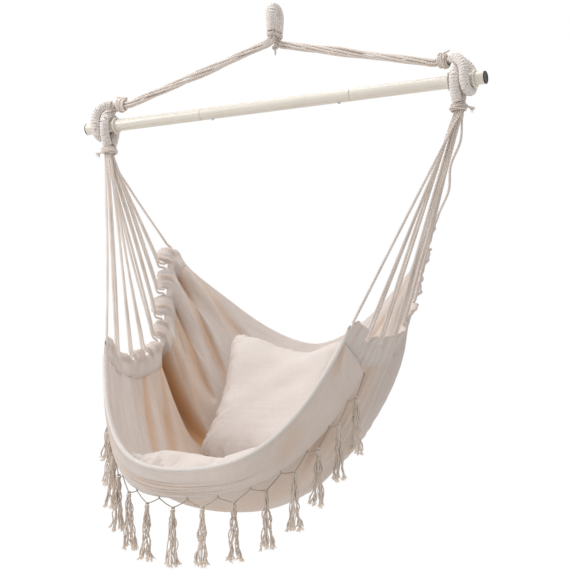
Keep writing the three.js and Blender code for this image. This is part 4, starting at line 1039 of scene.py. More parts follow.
def crease_depth(across, along, creases, scales=SLING_SCALES):
    """The creases' depth at each point. Positive is a ditch seen from inside, negative a ridge. The
    scales turn shares into metres. A lean over 1 makes the side towards the back steeper."""
    total = np.zeros(np.broadcast(across, along).shape)
    x, y = across * scales[0], along * scales[1]
    for a0, l0, a1, l1, wide, deep, lean in creases:
        deep = deep * MM
        x0, y0, x1, y1 = a0 * scales[0], l0 * scales[1], a1 * scales[0], l1 * scales[1]
        long = math.hypot(x1 - x0, y1 - y0)
        ux, uy = (x1 - x0) / long, (y1 - y0) / long
        run = (x - x0) * ux + (y - y0) * uy
        off = (-(x - x0) * uy + (y - y0) * ux) * (1 if ux > 0 else -1)
        share = np.clip(run / long, 0, 1)
        past = run - share * long
        taper = np.sin(np.pi * np.clip(0.12 + 0.88 * share, 0, 1)) ** 0.6
        steepness = 1.4 + 1.6 * np.clip((abs(deep) - SHARPER_FROM) / SHARPER_FROM, 0, 1)
        narrowing = wide * (1.3 - 0.6 * share)
        leaning = narrowing * np.where(off > 0, 1 / lean, lean)
        across_fold = np.exp(-np.abs(off / leaning) ** steepness)
        total += deep * taper * across_fold * np.exp(-((past / (2 * wide)) ** 2))
    return total


def hem_pleats(across, along):
    near = np.abs(across)
    fade = near**10 * (1 - near) / 0.035
    deeper = 0.35 + 0.65 * along
    wave = np.cos(2 * np.pi * TABS * along)
    return -FOLD_DEPTH * deeper * fade * np.sign(wave) * np.abs(wave) ** 0.8


# %% Creases listed
# Each row: from across, from along, to across, to along, width in metres, depth in mm, lean.
BIG_CREASES = [
    (-1.02, 0.500, -0.56, 0.545, 0.021, 40, 1.5),
    (-0.98, 0.600, -0.60, 0.610, 0.034, -18, 1.0),
    (-0.97, 0.735, -0.62, 0.660, 0.020, 17, 2.0),
    (-0.97, 0.800, -0.60, 0.700, 0.024, -12, 1.0),
    (-0.97, 0.900, -0.52, 0.745, 0.017, 15, 1.9),
    (-0.97, 0.325, -0.56, 0.262, 0.013, 19, 1.5),
    (-0.95, 0.375, -0.66, 0.315, 0.018, -9, 1.0),
    (-0.95, 0.430, -0.62, 0.372, 0.012, 13, 1.6),
    (-0.90, 0.985, -0.35, 0.880, 0.024, 8, 1.3),
    (-0.55, 0.985, 0.10, 0.930, 0.020, -5, 1.0),
    (0.97, 0.140, 0.38, 0.225, 0.013, -15, 1.9),
    (0.96, 0.200, 0.36, 0.265, 0.013, 15, 1.9),
    (0.96, 0.265, 0.34, 0.300, 0.013, -16, 1.9),
    (0.96, 0.330, 0.32, 0.335, 0.013, 14, 1.8),
    (0.97, 0.400, 0.42, 0.375, 0.014, -14, 1.7),
    (0.97, 0.500, 0.60, 0.470, 0.018, 12, 1.6),
    (0.97, 0.620, 0.60, 0.550, 0.020, -9, 1.3),
    (0.97, 0.740, 0.62, 0.640, 0.020, 11, 1.5),
    (0.96, 0.860, 0.60, 0.730, 0.022, -8, 1.2),
    (0.92, 0.970, 0.30, 0.880, 0.022, 8, 1.4),
    (0.97, 0.230, 0.44, 0.252, 0.009, -12, 2.2),
    (0.97, 0.292, 0.40, 0.283, 0.009, 13, 2.2),
    (0.97, 0.335, 0.42, 0.312, 0.008, -13, 2.2),
    (0.97, 0.372, 0.44, 0.345, 0.009, 12, 2.0),
    (0.97, 0.440, 0.50, 0.395, 0.009, -13, 2.0),
    (0.97, 0.475, 0.52, 0.420, 0.009, 10, 2.0),
    (-0.50, 0.120, 0.45, 0.150, 0.010, -3, 1.5),
    (-0.40, 0.175, 0.55, 0.195, 0.011, 3, 1.4),
    (-0.70, 0.200, 0.20, 0.240, 0.012, -3, 1.4),
]
print("creases listed by hand:", len(BIG_CREASES))

# %% [markdown]
# ## Gathers and wrinkles
# Below the hem's stitches the cloth is bunched into short gathers, and thin wrinkles run on from them.
# They could be listed too, but they are many and none matters alone, so chance places them. A ditch that
# would push out through the flap, or a ridge that would push into a cushion, is held back.

# %% Creases left to chance
GATHERS_PER_SIDE, WRINKLES_PER_SIDE = 3 * TABS + 2, 13
CREASE_SEED = 23
chance = np.random.default_rng(CREASE_SEED)


def gathers(side):
    made = []
    for tab in range(GATHERS_PER_SIDE):
        start = (tab + chance.uniform(0.1, 0.9)) / GATHERS_PER_SIDE
        reach = chance.uniform(0.10, 0.28)
        drift = chance.uniform(-0.02, 0.02) + (0.45 - start) * 0.10
        deep = chance.uniform(2.4, 6.4) * chance.choice([-1, 1])
        wide = chance.uniform(0.007, 0.012)
        made.append((side * 0.975, start, side * (0.975 - reach), start + drift, wide, deep, 1.3))
    return made


def long_wrinkles(side):
    made = []
    for k in range(WRINKLES_PER_SIDE):
        start = (k + chance.uniform(0.1, 0.9)) / WRINKLES_PER_SIDE
        reach = chance.uniform(0.3, 0.55)
        drift = (0.45 - start) * chance.uniform(0.15, 0.35)
        deep = chance.uniform(1.6, 3.4) * chance.choice([-1, 1])
        made.append((side * 0.9, start, side * (0.9 - reach), start + drift, 0.008, deep, 1.6))
    return made


BY_CHANCE = gathers(1) + gathers(-1) + long_wrinkles(1) + long_wrinkles(-1)
SLING_CREASES = BIG_CREASES + BY_CHANCE


def sling_creases(across, along):
    """The creases at each point, held back in front of the flap and under the cushions."""
    total = crease_depth(across, along, SLING_CREASES)
    flap_room = 0.15 + 0.85 * smooth_step(0.20, 0.36, along)
    cushion_room = smooth_step(0.56, 0.72, np.abs(across))
    return np.where(total > 0, total * flap_room, total * cushion_room)


print("creases on the sling:", len(SLING_CREASES))

# %% [markdown]
# ## Sheets of cloth
# A sheet is a grid of points, thickened and closed round its edge. A modifier could do that, but here the
# notes of the two faces differ. The bolt note is measured over the cloth itself, so that the weave keeps
# its size where the sheet is gathered.

# %% Sheet helpers
def grid_normals(places):
    return unit(np.cross(np.gradient(places, axis=1), np.gradient(places, axis=0)))


def grid_faces(rows, columns):
    r = np.arange(rows - 1)[:, None] * columns
    c = np.arange(columns - 1)[None, :]
    quads = np.stack([r + c, r + c + 1, r + c + 1 + columns, r + c + columns], axis=-1)
    return quads.reshape(-1, 4)


def thick_sheet(places, thickness, normals=None):
    """A closed sheet of cloth about a grid of points, with its edges walled."""
    rows, columns = places.shape[:2]
    count = rows * columns
    normals = grid_normals(places) if normals is None else normals
    half = np.asarray(thickness)[..., None] / 2
    over, under = places + normals * half, places - normals * half
    quads = grid_faces(rows, columns)
    top, bottom = quads.tolist(), (quads[:, ::-1] + count).tolist()
    border = (
        [(c, c + 1) for c in range(columns - 1)]
        + [((r + 1) * columns - 1, (r + 2) * columns - 1) for r in range(rows - 1)]
        + [((rows - 1) * columns + c + 1, (rows - 1) * columns + c) for c in range(columns - 1)]
        + [((r + 1) * columns, r * columns) for r in range(rows - 1)]
    )
    walls = [[b, a, a + count, b + count] for a, b in border]
    return np.concatenate([over.reshape(-1, 3), under.reshape(-1, 3)]), top + bottom + walls


def even_across(share):
    reach = np.pi * 0.4
    return np.sign(share) * (np.sin(np.abs(share) * reach) / np.sin(reach))


def walked_across(places):
    steps = np.linalg.norm(np.diff(places, axis=1), axis=-1)
    return np.concatenate([np.zeros((len(places), 1)), np.cumsum(steps, axis=1)], axis=1)


def bolt_note(places):
    """How far across and along the bolt each grid point lies, from the middle of the first row."""
    middle = slice(places.shape[1] // 2, places.shape[1] // 2 + 1)
    x = walked_across(places)
    x -= x[:, middle]
    y = walked_across(places[:, middle].swapaxes(0, 1)).T
    y = np.repeat(y, places.shape[1], axis=1)
    return np.stack([x, y, np.zeros_like(x)], axis=-1).reshape(-1, 3)


def sheet_notes(places, over, under):
    """The notes of a sheet's two faces: the place on the bolt, and how deep in a fold."""
    bolt = np.tile(bolt_note(places), (2, 1))
    return {"bolt_place": bolt, "fold_depth": np.concatenate([over.ravel(), under.ravel()])}


def calm_at_edge(across):
    return np.clip((1 - np.abs(across)) / 0.04, 0, 1)


# %% [markdown]
# ## The sling
# Pleats and creases are laid on square to the smooth surface. A ditch seen from inside is a ridge from
# outside. Inside, painted bounce light makes the low sides warmer, as the light they catch from the cloth
# opposite, and ditches get painted shade; outside, ditches and the band under the flap get painted shade.
# So each face has a note of its own. One note for both would be simpler, but it paints ridges dark.

# %% The sling
SLING_ROWS, SLING_HALF_COLUMNS = 250, 120
SLING_THICKNESS = 1.8 * MM
# How strong the painted shade and painted bounce light of the notes are.
DITCH_DEPTH, RIDGE_HEIGHT, RIDGE_NOTE = 19 * MM, 22 * MM, 0.42
BOUNCE_PLACE, BOUNCE_REACH, BOUNCE_NOTE = 0.51, 0.17, 0.46
FLAP_SHADE_PLACE, FLAP_SHADE_REACH, FLAP_SHADE_NOTE = 0.20, 0.13, 0.36
sling_across = even_across(np.linspace(-1, 1, 2 * SLING_HALF_COLUMNS + 1))
across_grid, along_grid = np.meshgrid(sling_across, np.linspace(0, 1, SLING_ROWS + 1))
flat_sling = cloth_point(across_grid, along_grid)
sling_normals = grid_normals(flat_sling)
inward = np.sign(sling_normals[SLING_ROWS // 2, SLING_HALF_COLUMNS, 2])
folds = hem_pleats(across_grid, along_grid)
creases = sling_creases(across_grid, along_grid) * calm_at_edge(across_grid)
sling_places = flat_sling + sling_normals * (folds + creases * -inward)[..., None]
sling_shape = thick_sheet(sling_places, SLING_THICKNESS)


def swell_at(place, reach):
    return np.exp(-(((along_grid - place) / reach) ** 2))


# Painted shade and painted bounce light: these notes warm and darken the canvas colour in ditches, on the
# inside's low sides and under the flap.
fold_note = np.clip(creases / DITCH_DEPTH, 0, DEEPEST_NOTE)
low_sides = swell_at(BOUNCE_PLACE, BOUNCE_REACH) * smooth_step(0.2, 0.8, np.abs(across_grid))
inside_note = fold_note + (0.02 + BOUNCE_NOTE * low_sides) * np.clip(1 - fold_note, 0, 1)
outside_note = np.maximum(
    np.clip(-creases / RIDGE_HEIGHT, 0, RIDGE_NOTE),
    FLAP_SHADE_NOTE * swell_at(FLAP_SHADE_PLACE, FLAP_SHADE_REACH),
)
fold_notes = [inside_note, outside_note] if inward > 0 else [outside_note, inside_note]
sling_notes = sheet_notes(sling_places, *fold_notes)
sling = make_piece(
    "sling_canvas", sling_shape, "sling", canvas, ["sling_cloth"], sling_notes
)
print("sling faces:", len(sling_shape[1]), "normal points inward:", inward > 0)

# %% [markdown]
# ## The side hems
# Along each side the canvas is folded over into a tunnel five centimetres deep, stitched below, and cut away
# at nine notches where the cords come in. The tunnel bunches up on the cord, so every tab is gathered and
# flops outwards a little. A bevelled edge would miss that, so the hem is a folded sheet of its own: outer
# layer, turned top and inner layer in one, with the notches as dips of the fold. Each tab's height, lean and
# twist are listed, because no two of them flop alike.

# %% Where the hem lies
HEM_DEPTH = 50 * MM
HEM_RISE, NOTCH_DIP = 11 * MM, 4.2 * MM
NOTCH_FLOOR, NOTCH_MOUTH = 7 * MM, 14 * MM
HEM_ROWS, HEM_LAYER_COLUMNS = 288, 22
HEM_THICKNESS = 1.1 * MM
TAB_TALL = {1: [5, 3, 6, 2, 6, 4, 9, 7], -1: [7, 3, 6, 3, 5, 13, 6, 11]}
TAB_LEAN = {1: [3, 6, 2, 6, 3, 2, 3, 1], -1: [1, 7, 2, 7, 4, 8, 10, 5]}
TAB_TWIST = {1: [4, -8, 6, -6, 6, -6, 7, -5], -1: [-2, 8, -7, 9, -8, 11, -8, 9]}
hem_length = length_of(hem_line)


def hem_surface(along, below, side):
    """Points of the folded sling at distances below the hem's edge, and the way out of the chair."""
    edge, _, up, square = hem_axes(along)
    square = square * np.sign(square[:, :1])
    trial = np.linspace(1, 0.72, 90)
    walked = walked_across(cloth_point(trial[None, :], along[:, None]))
    across = np.stack([np.interp(b - HEM_FALL, w, trial) for b, w in zip(below, walked)])
    along_rows = np.broadcast_to(along[:, None], across.shape)
    flat = cloth_point(across, along_rows)
    normals = grid_normals(flat)
    turned = np.sign((normals * square[:, None, :]).sum(-1, keepdims=True))
    outward = normals * turned
    fold = hem_pleats(across, along_rows) * -inward
    ditch = sling_creases(side * across, along_rows) * calm_at_edge(across)
    on_cloth = flat + outward * (fold + ditch)[..., None]
    above = np.clip(HEM_FALL - below, 0, None)[..., None]
    mix = smooth_step(0, HEM_FALL, below)[..., None]
    outward = unit(square[:, None, :] * (1 - mix) + outward * mix)
    return on_cloth + up[:, None, :] * above, outward


print("hem tunnel:", round(hem_length, 3), "m long and", round(HEM_DEPTH, 3), "m deep")

# %% Gathered hem tabs
GATHER_PITCH, WIDE_GATHER_PITCH = 15 * MM, 37 * MM
GATHER_DEPTH = 2.4 * MM
HEM_FLAT = 2.0 * MM
HEM_SEEDS = {"right": 3, "left": 8}


def side_hem(seed, side):
    chance = np.random.default_rng(seed)
    along = np.linspace(0, 1, HEM_ROWS + 1)
    metres = along * hem_length
    pitch = hem_length / TABS
    from_notch = np.abs(metres - np.round(metres / pitch) * pitch)
    tab = smooth_step(NOTCH_FLOOR, NOTCH_MOUTH, from_notch)
    number = np.minimum((along * TABS).astype(int), TABS - 1)
    tall = np.array(TAB_TALL[side])[number] * MM
    lean = np.array(TAB_LEAN[side])[number] * MM
    twist = np.array(TAB_TWIST[side])[number] * (along * TABS - number - 0.5) * MM

    def uneven_waves(wave_pitch):
        steps = np.cumsum(chance.uniform(0.7, 1.3, HEM_ROWS + 1))
        return np.sin(steps * (metres[1] / wave_pitch) * 2 * np.pi)

    ripple = 0.35 * uneven_waves(GATHER_PITCH) + 0.75 * uneven_waves(WIDE_GATHER_PITCH)
    rounded = np.sin(np.pi * np.clip(along * TABS - number, 0, 1)) ** 0.5
    raised = (HEM_RISE + NOTCH_DIP + tall * rounded) * tab**0.8
    top = -NOTCH_DIP + raised + 1.2 * MM * ripple * tab
    share = np.linspace(0, 1, HEM_LAYER_COLUMNS + 1) ** 1.5
    layer = -top[:, None] + (HEM_DEPTH + top)[:, None] * share[None, :]
    below = np.concatenate([layer[:, :0:-1], layer], axis=1)
    sign = np.concatenate([np.ones(HEM_LAYER_COLUMNS), -np.ones(HEM_LAYER_COLUMNS + 1)])
    sign[HEM_LAYER_COLUMNS] = 0
    places, outward = hem_surface(along, below, side)
    near_top = np.sqrt(np.clip((below + top[:, None]) / (5 * MM), 0, 1))
    bulge = (2.0 + 3.0 * tab)[:, None] * MM
    pinch = 1 - 0.6 * smooth_step(HEM_DEPTH - 11 * MM, HEM_DEPTH - 3 * MM, below)
    puffed = (bulge - HEM_FLAT) * (1 - smooth_step(4 * MM, 15 * MM, below))
    half_gap = (HEM_FLAT + puffed) * near_top * pinch
    fading = 0.3 + 0.7 * np.exp(-((np.clip(below, 0, None) / (24 * MM)) ** 2))
    gathered = ripple[:, None] * fading * (0.35 + 0.65 * tab[:, None])
    flop = ((lean + twist) * tab)[:, None] * np.clip(-below / HEM_RISE, 0, 2.2) ** 1.4
    shift = sign[None, :] * half_gap + GATHER_DEPTH * gathered + flop
    places = places + outward * shift[..., None]
    # Painted shade: the ditches of the gathers are painted warmer.
    ditch_note = np.clip(-gathered * 0.3, 0, 0.5)
    notes = sheet_notes(places, ditch_note, ditch_note)
    return thick_sheet(places, HEM_THICKNESS), notes, places, outward


# %% Stitches, and both hems
STITCH, STITCH_GAP, STITCH_THICK = 3.3 * MM, 1.4 * MM, 0.42 * MM
STITCH_PLACES = np.array([0, 0.2, 0.5, 0.8, 1]) * STITCH
STITCH_LIFTS = np.array([-0.35, 0.25, 0.35, 0.25, -0.35])[:, None] * MM


def stitch_row(line, away):
    """A row of single stitches along a line: each rises out of the cloth, runs and dips back in."""
    walked = walked_along(line)
    parts = []
    for k in range(int(walked[-1] // (STITCH + STITCH_GAP))):
        at = k * (STITCH + STITCH_GAP) + STITCH_PLACES
        middle, out = rows_at(at, walked, line), rows_at(at, walked, away)
        parts.append(plain_yarn(middle + out * STITCH_LIFTS, [STITCH_THICK], 5, out[2]))
    return together(parts)


for side, sign in (("right", 1), ("left", -1)):
    shape, notes, places, outward = side_hem(HEM_SEEDS[side], sign)
    outer = places[:, 2] + outward[:, 2] * 0.6 * MM
    inner = places[:, -3] - outward[:, -3] * 0.6 * MM
    stitches = together([stitch_row(outer, outward[:, 2]), stitch_row(inner, -outward[:, -3])])
    if side == "left":
        shape, stitches = mirrored(shape), mirrored(stitches)
        notes["bolt_place"] = notes["bolt_place"] * (-1, 1, 1)
    hem_name = f"{side}_hem_canvas"
    make_piece(hem_name, shape, "sling", canvas, [f"{side}_side_hem"], notes)
    make_piece(f"{side}_hem_stitches", stitches, "sling", thread_finish)
    print(side, "hem faces:", len(shape[1]), "stitch faces:", len(stitches[1]))

# %% [markdown]
# ## The front flap
# A second layer of canvas hangs outside the front of the sling. Its top is rolled over the rim, which is the
# pale line of the photograph, and its lower edge is cut in one curve that carries the fringe. It could be a
# thickened strip, but the roll joins it to the sling, so the sheet starts inside the sling, turns over the
# rim and then falls.

# %% Flap sizes and creases
FLAP_HALF_SPAN, FLAP_FRONT = 299 * MM, 372 * MM
FLAP_SIDE_SET_BACK, FLAP_DROP, FLAP_SIDE_RISE = 182 * MM, 880 * MM, 246 * MM
FLAP_OFFSET, FLAP_BULGE = 6.5 * MM, 6 * MM
FLAP_TOP_SHARE = 0.972
FLAP_ROWS, FLAP_COLUMNS, ROLL_ROWS, TUCK_ROWS = 90, 240, 14, 4
FLAP_THICKNESS = 1.6 * MM
ROLL_RADIUS = 4.4 * MM
FLAP_SCALES = (0.31, 0.28)
# Each row as for the sling.
FLAP_CREASES = [
    (-0.50, 0.40, 0.30, 0.46, 0.009, 3.2, 1.7),
    (-0.42, 0.52, 0.38, 0.58, 0.008, 3.2, 1.7),
    (-0.55, 0.64, 0.25, 0.71, 0.009, 3.0, 1.6),
    (-0.35, 0.76, 0.42, 0.81, 0.008, 2.8, 1.6),
    (-0.20, 0.88, 0.30, 0.90, 0.008, 2.4, 1.4),
    (-0.60, 0.30, -0.10, 0.33, 0.010, -2.4, 1.3),
    (-0.62, 0.46, -0.05, 0.53, 0.008, 2.6, 1.6),
    (0.02, 0.64, 0.55, 0.60, 0.008, 2.6, 1.6),
    (-0.66, 0.58, -0.30, 0.66, 0.008, 2.4, 1.6),
    (-0.28, 0.82, 0.12, 0.86, 0.008, 2.4, 1.6),
    (0.995, 0.0, 0.945, 0.26, 0.007, 9, 1.6),
    (0.90, 0.02, 0.84, 0.42, 0.016, -4, 1.3),
    (0.74, 0.05, 0.62, 0.85, 0.040, 4, 1.2),
    (-0.95, 0.02, -0.86, 0.34, 0.012, 5, 1.6),
    (-0.80, 0.05, -0.72, 0.70, 0.040, 3, 1.2),
    (0.45, 0.10, 0.40, 0.60, 0.050, -3, 1.0),
]


def flap_lower_point(across):
    near = np.abs(across)
    y = -FLAP_FRONT + FLAP_SIDE_SET_BACK * near**2.6
    z = BAR_HEIGHT - FLAP_DROP + FLAP_SIDE_RISE * (0.3 * near**2 + 0.7 * near**4)
    return np.stack([FLAP_HALF_SPAN * across, y, z], axis=-1)


def flap_grid():
    """Shares across, the grid of points from the tuck over the roll to the hem, and the way out."""
    across = even_across(np.linspace(-1, 1, FLAP_COLUMNS + 1)) * FLAP_TOP_SHARE
    rim = cloth_point(across, 0.0)
    second = cloth_point(across, 1 / 16)
    normals = unit(np.cross(np.gradient(rim, axis=0), second - rim))
    outward = normals * -np.sign(normals[len(normals) // 2, 1])
    lower = flap_lower_point(across / FLAP_TOP_SHARE)
    top = rim + outward * FLAP_OFFSET
    share = np.linspace(0, 1, FLAP_ROWS + 1)[:, None, None]
    fall = top + (lower - top) * share + outward * FLAP_BULGE * np.sin(np.pi * share)
    rise = unit(top - lower)
    rise = unit(rise - outward * (rise * outward).sum(-1, keepdims=True))
    turn = np.linspace(np.pi, 0, ROLL_ROWS, endpoint=False)[:, None, None]
    hub = rim + outward * (FLAP_OFFSET - ROLL_RADIUS)
    roll = hub + ROLL_RADIUS * (np.cos(turn) * outward + np.sin(turn) * rise)
    tuck = roll[:1] - rise * np.linspace(9 * MM, 2 * MM, TUCK_ROWS)[:, None, None]
    return across / FLAP_TOP_SHARE, np.concatenate([tuck, roll, fall]), outward


print("creases on the flap:", len(FLAP_CREASES))

# %% [markdown]
# ## The flap's surface and tones
# Small creases slant over the flap, and its cut edge waves a little. Their ditches get painted shade, and the
# flap is painted warmer and darker towards +X, as painted shade. The roll along the rim is painted pale, as a
# painted highlight with some rubbed wear. That could be a painted stripe, but a note that fades over the rows
# of the roll has no hard edge.

# %% Flap
# Where on the roll the painted highlight with rubbed wear lies, and how much painted shade the flap's +X side
# gets.
PALE_ROW, PALE_ROWS, PALE_SHARE = 14, 3.2, 0.6
SIDE_SHADE_NOTE = 0.14
flap_across, flap_places, flap_outward = flap_grid()
flap_share = np.concatenate([np.zeros(ROLL_ROWS + TUCK_ROWS), np.linspace(0, 1, FLAP_ROWS + 1)])
flap_across_grid, flap_share_grid = np.meshgrid(flap_across, flap_share)
flap_creases = crease_depth(flap_across_grid, flap_share_grid, FLAP_CREASES, FLAP_SCALES)
flap_creases *= smooth_step(0, 0.06, flap_share_grid)
flap_places = flap_places - flap_outward * flap_creases[..., None] * 0.8
cut_edge = smooth_step(0.8, 1, flap_share_grid)
flap_places[..., 1] += (
    cut_edge * 1.5 * MM * np.sin(flap_across_grid * 31) * np.cos(flap_across_grid * 9)
)
flap_shape = thick_sheet(flap_places, FLAP_THICKNESS)

# Painted shade: warmer and darker towards +X and in crease ditches; the roll gets a painted highlight with
# rubbed wear.
painted_side_shade = SIDE_SHADE_NOTE * smooth_step(-0.5, 0.4, flap_across_grid)
rim_row = np.arange(len(flap_places))[:, None]
rim_share = PALE_SHARE * np.exp(-(((rim_row - PALE_ROW) / PALE_ROWS) ** 2))
flap_note = np.maximum(np.clip(flap_creases / (9 * MM), 0, 0.35), painted_side_shade)
flap_note = flap_note * (1 - rim_share) - rim_share
flap_notes = sheet_notes(flap_places, flap_note, flap_note)
flap = make_piece(
    "front_flap_canvas", flap_shape, "sling", canvas, ["front_flap"], flap_notes
)
stitch_rows = (ROLL_ROWS + TUCK_ROWS + 4, len(flap_places) - 4)
flap_stitches = together(
    [stitch_row(flap_places[row] + flap_outward * 0.9 * MM, flap_outward) for row in stitch_rows]
)
make_piece("front_flap_stitches", flap_stitches, "sling", thread_finish)
print("flap faces:", len(flap_shape[1]))

# %% [markdown]
# ## The fringe
# A thin knotted cord zigzags along the flap's edge, and a tassel hangs from each of its fourteen low knots.
# Hair particles would scatter them, but a tassel is only a dozen yarns with a little kink in each, so every
# yarn is its own line, and the cut ends are brushed out into short loose fibres.

# %% Where the fringe hangs, and its yarns
TASSELS = 14
HIGH_KNOT_DROP, KNOT_DROP = 3.0 * MM, 19 * MM
yarn_finish = cotton_finish("fringe_yarn", tone(244, 232, 221), tone(214, 198, 184), 0.0003)
brush_finish = cotton_finish("brushed_ends", tone(255, 244, 233), tone(240, 224, 209), 0.0001)
link_finish = cotton_finish("fringe_cord", tone(206, 192, 178), tone(172, 155, 140), 0.0002)


def fringe_stations():
    """The knots of the zigzag, high and low in turn."""
    edge = flap_lower_point(even_across(np.linspace(-1, 1, 21)))
    points = smooth_line(edge, 2 * TASSELS)
    points[0::2, 2] -= HIGH_KNOT_DROP
    points[1::2, 2] -= KNOT_DROP
    return points


fringe_points = fringe_stations()
print("fringe knots:", len(fringe_points), "over", round(length_of(fringe_points), 3), "m of cord")

# %% A tassel
TASSEL_LENGTH = 104 * MM
YARNS, YARN, YARN_LAY = 12, 2.5 * MM, 10 * MM
YARN_SWELL = ([0, 0.8, 0.93, 1], [1, 1, 1.5, 1.3])
BRUSHED_FIBRES = 9
COLLAR_TURNS, COLLAR_REACH = 3, 4.0 * MM


def brushed_end(line, chance):
    heading = unit(line[-1] - line[-3])
    fibres = []
    for _ in range(BRUSHED_FIBRES):
        out_way = unit(np.append(chance.normal(size=2), 0)) * chance.uniform(1.5, 5.5) * MM
        t = np.linspace(0, 1, 5)[:, None]
        fibre = line[-1] - heading * 2 * MM + heading * t * chance.uniform(5, 10) * MM
        fibre = fibre + out_way * t**1.3
        fibres.append(plain_yarn(fibre, [0.9 * MM, 0.9 * MM, 0.4 * MM], 5, BACK))
    return fibres


def tassel(head, seed):
    chance = np.random.default_rng(seed)
    sway = chance.normal(size=2) * 3 * MM
    share = np.linspace(0, 1, 24)
    yarns, brushes = [], []
    for k in range(YARNS):
        angle = 2 * np.pi * k / YARNS + chance.uniform(-0.3, 0.3)
        long = TASSEL_LENGTH * chance.uniform(0.9, 1.0)
        out = 2.4 * MM + (chance.uniform(2.5, 8.5) * MM) * np.sin(np.pi * 0.5 * share) ** 0.8
        out += chance.uniform(2.0, 7.0) * MM * smooth_step(0.72, 1, share) ** 1.4
        swirl = angle + chance.uniform(-0.5, 0.5) * share
        kink = chance.uniform(1.2, 2.7) * MM
        phase = share * chance.uniform(10, 20) + chance.uniform(0, 6)
        wave = kink * np.sin(phase) * smooth_step(0, 0.2, share)
        x = head[0] + out * np.cos(swirl) + wave + sway[0] * share**1.5
        y = head[1] + out * np.sin(swirl) + wave * chance.uniform(-1, 1) + sway[1] * share**1.5
        line = np.column_stack([x, y, head[2] - 6 * MM - long * share])
        yarns.append(laid_cord(line, YARN, YARN_LAY, start=LEFT, swell=YARN_SWELL))
        brushes += brushed_end(line, chance)
    s = np.linspace(0, 1, COLLAR_TURNS * 18 + 1)
    x = head[0] + COLLAR_REACH * np.cos(2 * np.pi * COLLAR_TURNS * s)
    y = head[1] + COLLAR_REACH * np.sin(2 * np.pi * COLLAR_TURNS * s)
    collar = np.column_stack([x, y, head[2] - 4 * MM - 5 * MM * s])
    yarns.append(laid_cord(collar, 2.2 * MM, 6 * MM, start=UP))
    yarns.append(overhand_knot(head, 1.25 * MM, 2.5 * MM))
    return together(yarns), together(brushes)


print("each tassel has", YARNS, "yarns of up to", round(TASSEL_LENGTH, 3), "m")

# %% The whole fringe
FRINGE_CORD, FRINGE_LAY, FRINGE_SAG = 2.4 * MM, 7 * MM, 1.2 * MM
LOOP_WIDE, LOOP_TALL, LOOP_CORD = 2.6 * MM, 3.6 * MM, 2.0 * MM
FIRST_TASSEL_SEED = 40


def fringe_cord(points):
    parts = []
    for a, b in zip(points[:-1], points[1:]):
        middle = (a + b) / 2 + (0, 0, -FRINGE_SAG)
        parts.append(laid_cord(smooth_line([a, middle, b], 16), FRINGE_CORD, FRINGE_LAY, start=UP))
    t = np.linspace(0, 2 * np.pi, 22)
    for x, y, z in points[0::2]:
        aslant, upright = x + 0.8 * MM * np.sin(t / 2), z + LOOP_TALL + LOOP_TALL * np.sin(t)
        loop = np.column_stack([aslant, y + LOOP_WIDE * np.cos(t), upright])
        parts.append(laid_cord(loop, LOOP_CORD, 6 * MM, start=LEFT))
    return together(parts)


zigzag = fringe_cord(fringe_points)
fringe_pieces = [
    make_piece("fringe_cord", zigzag, "sling", link_finish, ["fringe"])
]
for number, place in enumerate(fringe_points[1::2]):
    hung, brushed = tassel(place, FIRST_TASSEL_SEED + number)
    shape = together([hung, brushed])
    piece = make_piece(f"tassel_{number + 1:02d}", shape, "sling", yarn_finish)
    piece.data.materials.append(brush_finish)
    finishes = [0] * len(hung[1]) + [1] * len(brushed[1])
    piece.data.polygons.foreach_set("material_index", finishes)
    fringe_pieces.append(piece)
print("fringe faces:", len(zigzag[1]), "tassels:", TASSELS)

# %% [markdown]
# ## The cushions
# The seat cushion and the pillow are cloth bags full of soft fibre. A subdivided box would be too even, so
# each starts as a slack bag on the sling's own curve and is blown up by a cloth simulation. The seam is
# held, as stitches hold it, so the spare cloth puckers along it. The underside lies on the sling, so its
# points may hardly move.

# %% Slack bags
CUSHION_STEPS = 48
SEAM_HEIGHT = 9 * MM
SEAM_SHARE = 0.985
SEAM_STEPS = 260
SLACK = 0.93
SEAT = {
    "along": (0.055, 0.43), "across": (0.6, 0.56), "draw": 0.09, "tilt": 0.0, "arch": 0.0,
    "thick": 84 * MM, "lifts": (4.6 * MM, 6 * MM), "way": (0, 0, 1), "swell": 22 * MM,
}
PILLOW = {
    "along": (0.468, 0.872), "across": (0.565, 0.53), "draw": 0.04, "tilt": 0.018, "arch": 0.07,
    "thick": 112 * MM, "lifts": (3 * MM, 22 * MM), "way": (0, -0.78, 0.63), "swell": 26 * MM,
}


def way_out(bag):
    return unit(np.array(bag["way"], float))


def cushion_middle(bag, a, b):
    """Points on the bag's middle surface and its height there, a across and b along it."""
    low, high = bag["along"]
    middle, half = (low + high) / 2, (high - low) / 2
    wide = bag["across"][0] + (bag["across"][1] - bag["across"][0]) * (b + 1) / 2
    across = a * wide * (1 - bag["draw"] * (1 - b * b))
    arch = bag["arch"] * (1 - a * a) * (b + 1) / 2
    along = middle + b * half * (1 - bag["draw"] * (1 - a * a)) - a * bag["tilt"] + arch
    crown = np.sqrt(np.clip((1 - a**4) * (1 - b**4), 0, 1))
    height = SEAM_HEIGHT + (bag["thick"] - SEAM_HEIGHT) * crown
    lift = bag["lifts"][0] + bag["lifts"][1] * (1 - crown) + height / 2
    return cloth_point(across, along) + way_out(bag) * lift[..., None], height


def slack_bag(bag):
    steps = np.linspace(-SEAM_SHARE, SEAM_SHARE, CUSHION_STEPS + 1)
    places, height = cushion_middle(bag, *np.meshgrid(steps, steps))
    return thick_sheet(places, height * SLACK, np.broadcast_to(way_out(bag), places.shape))


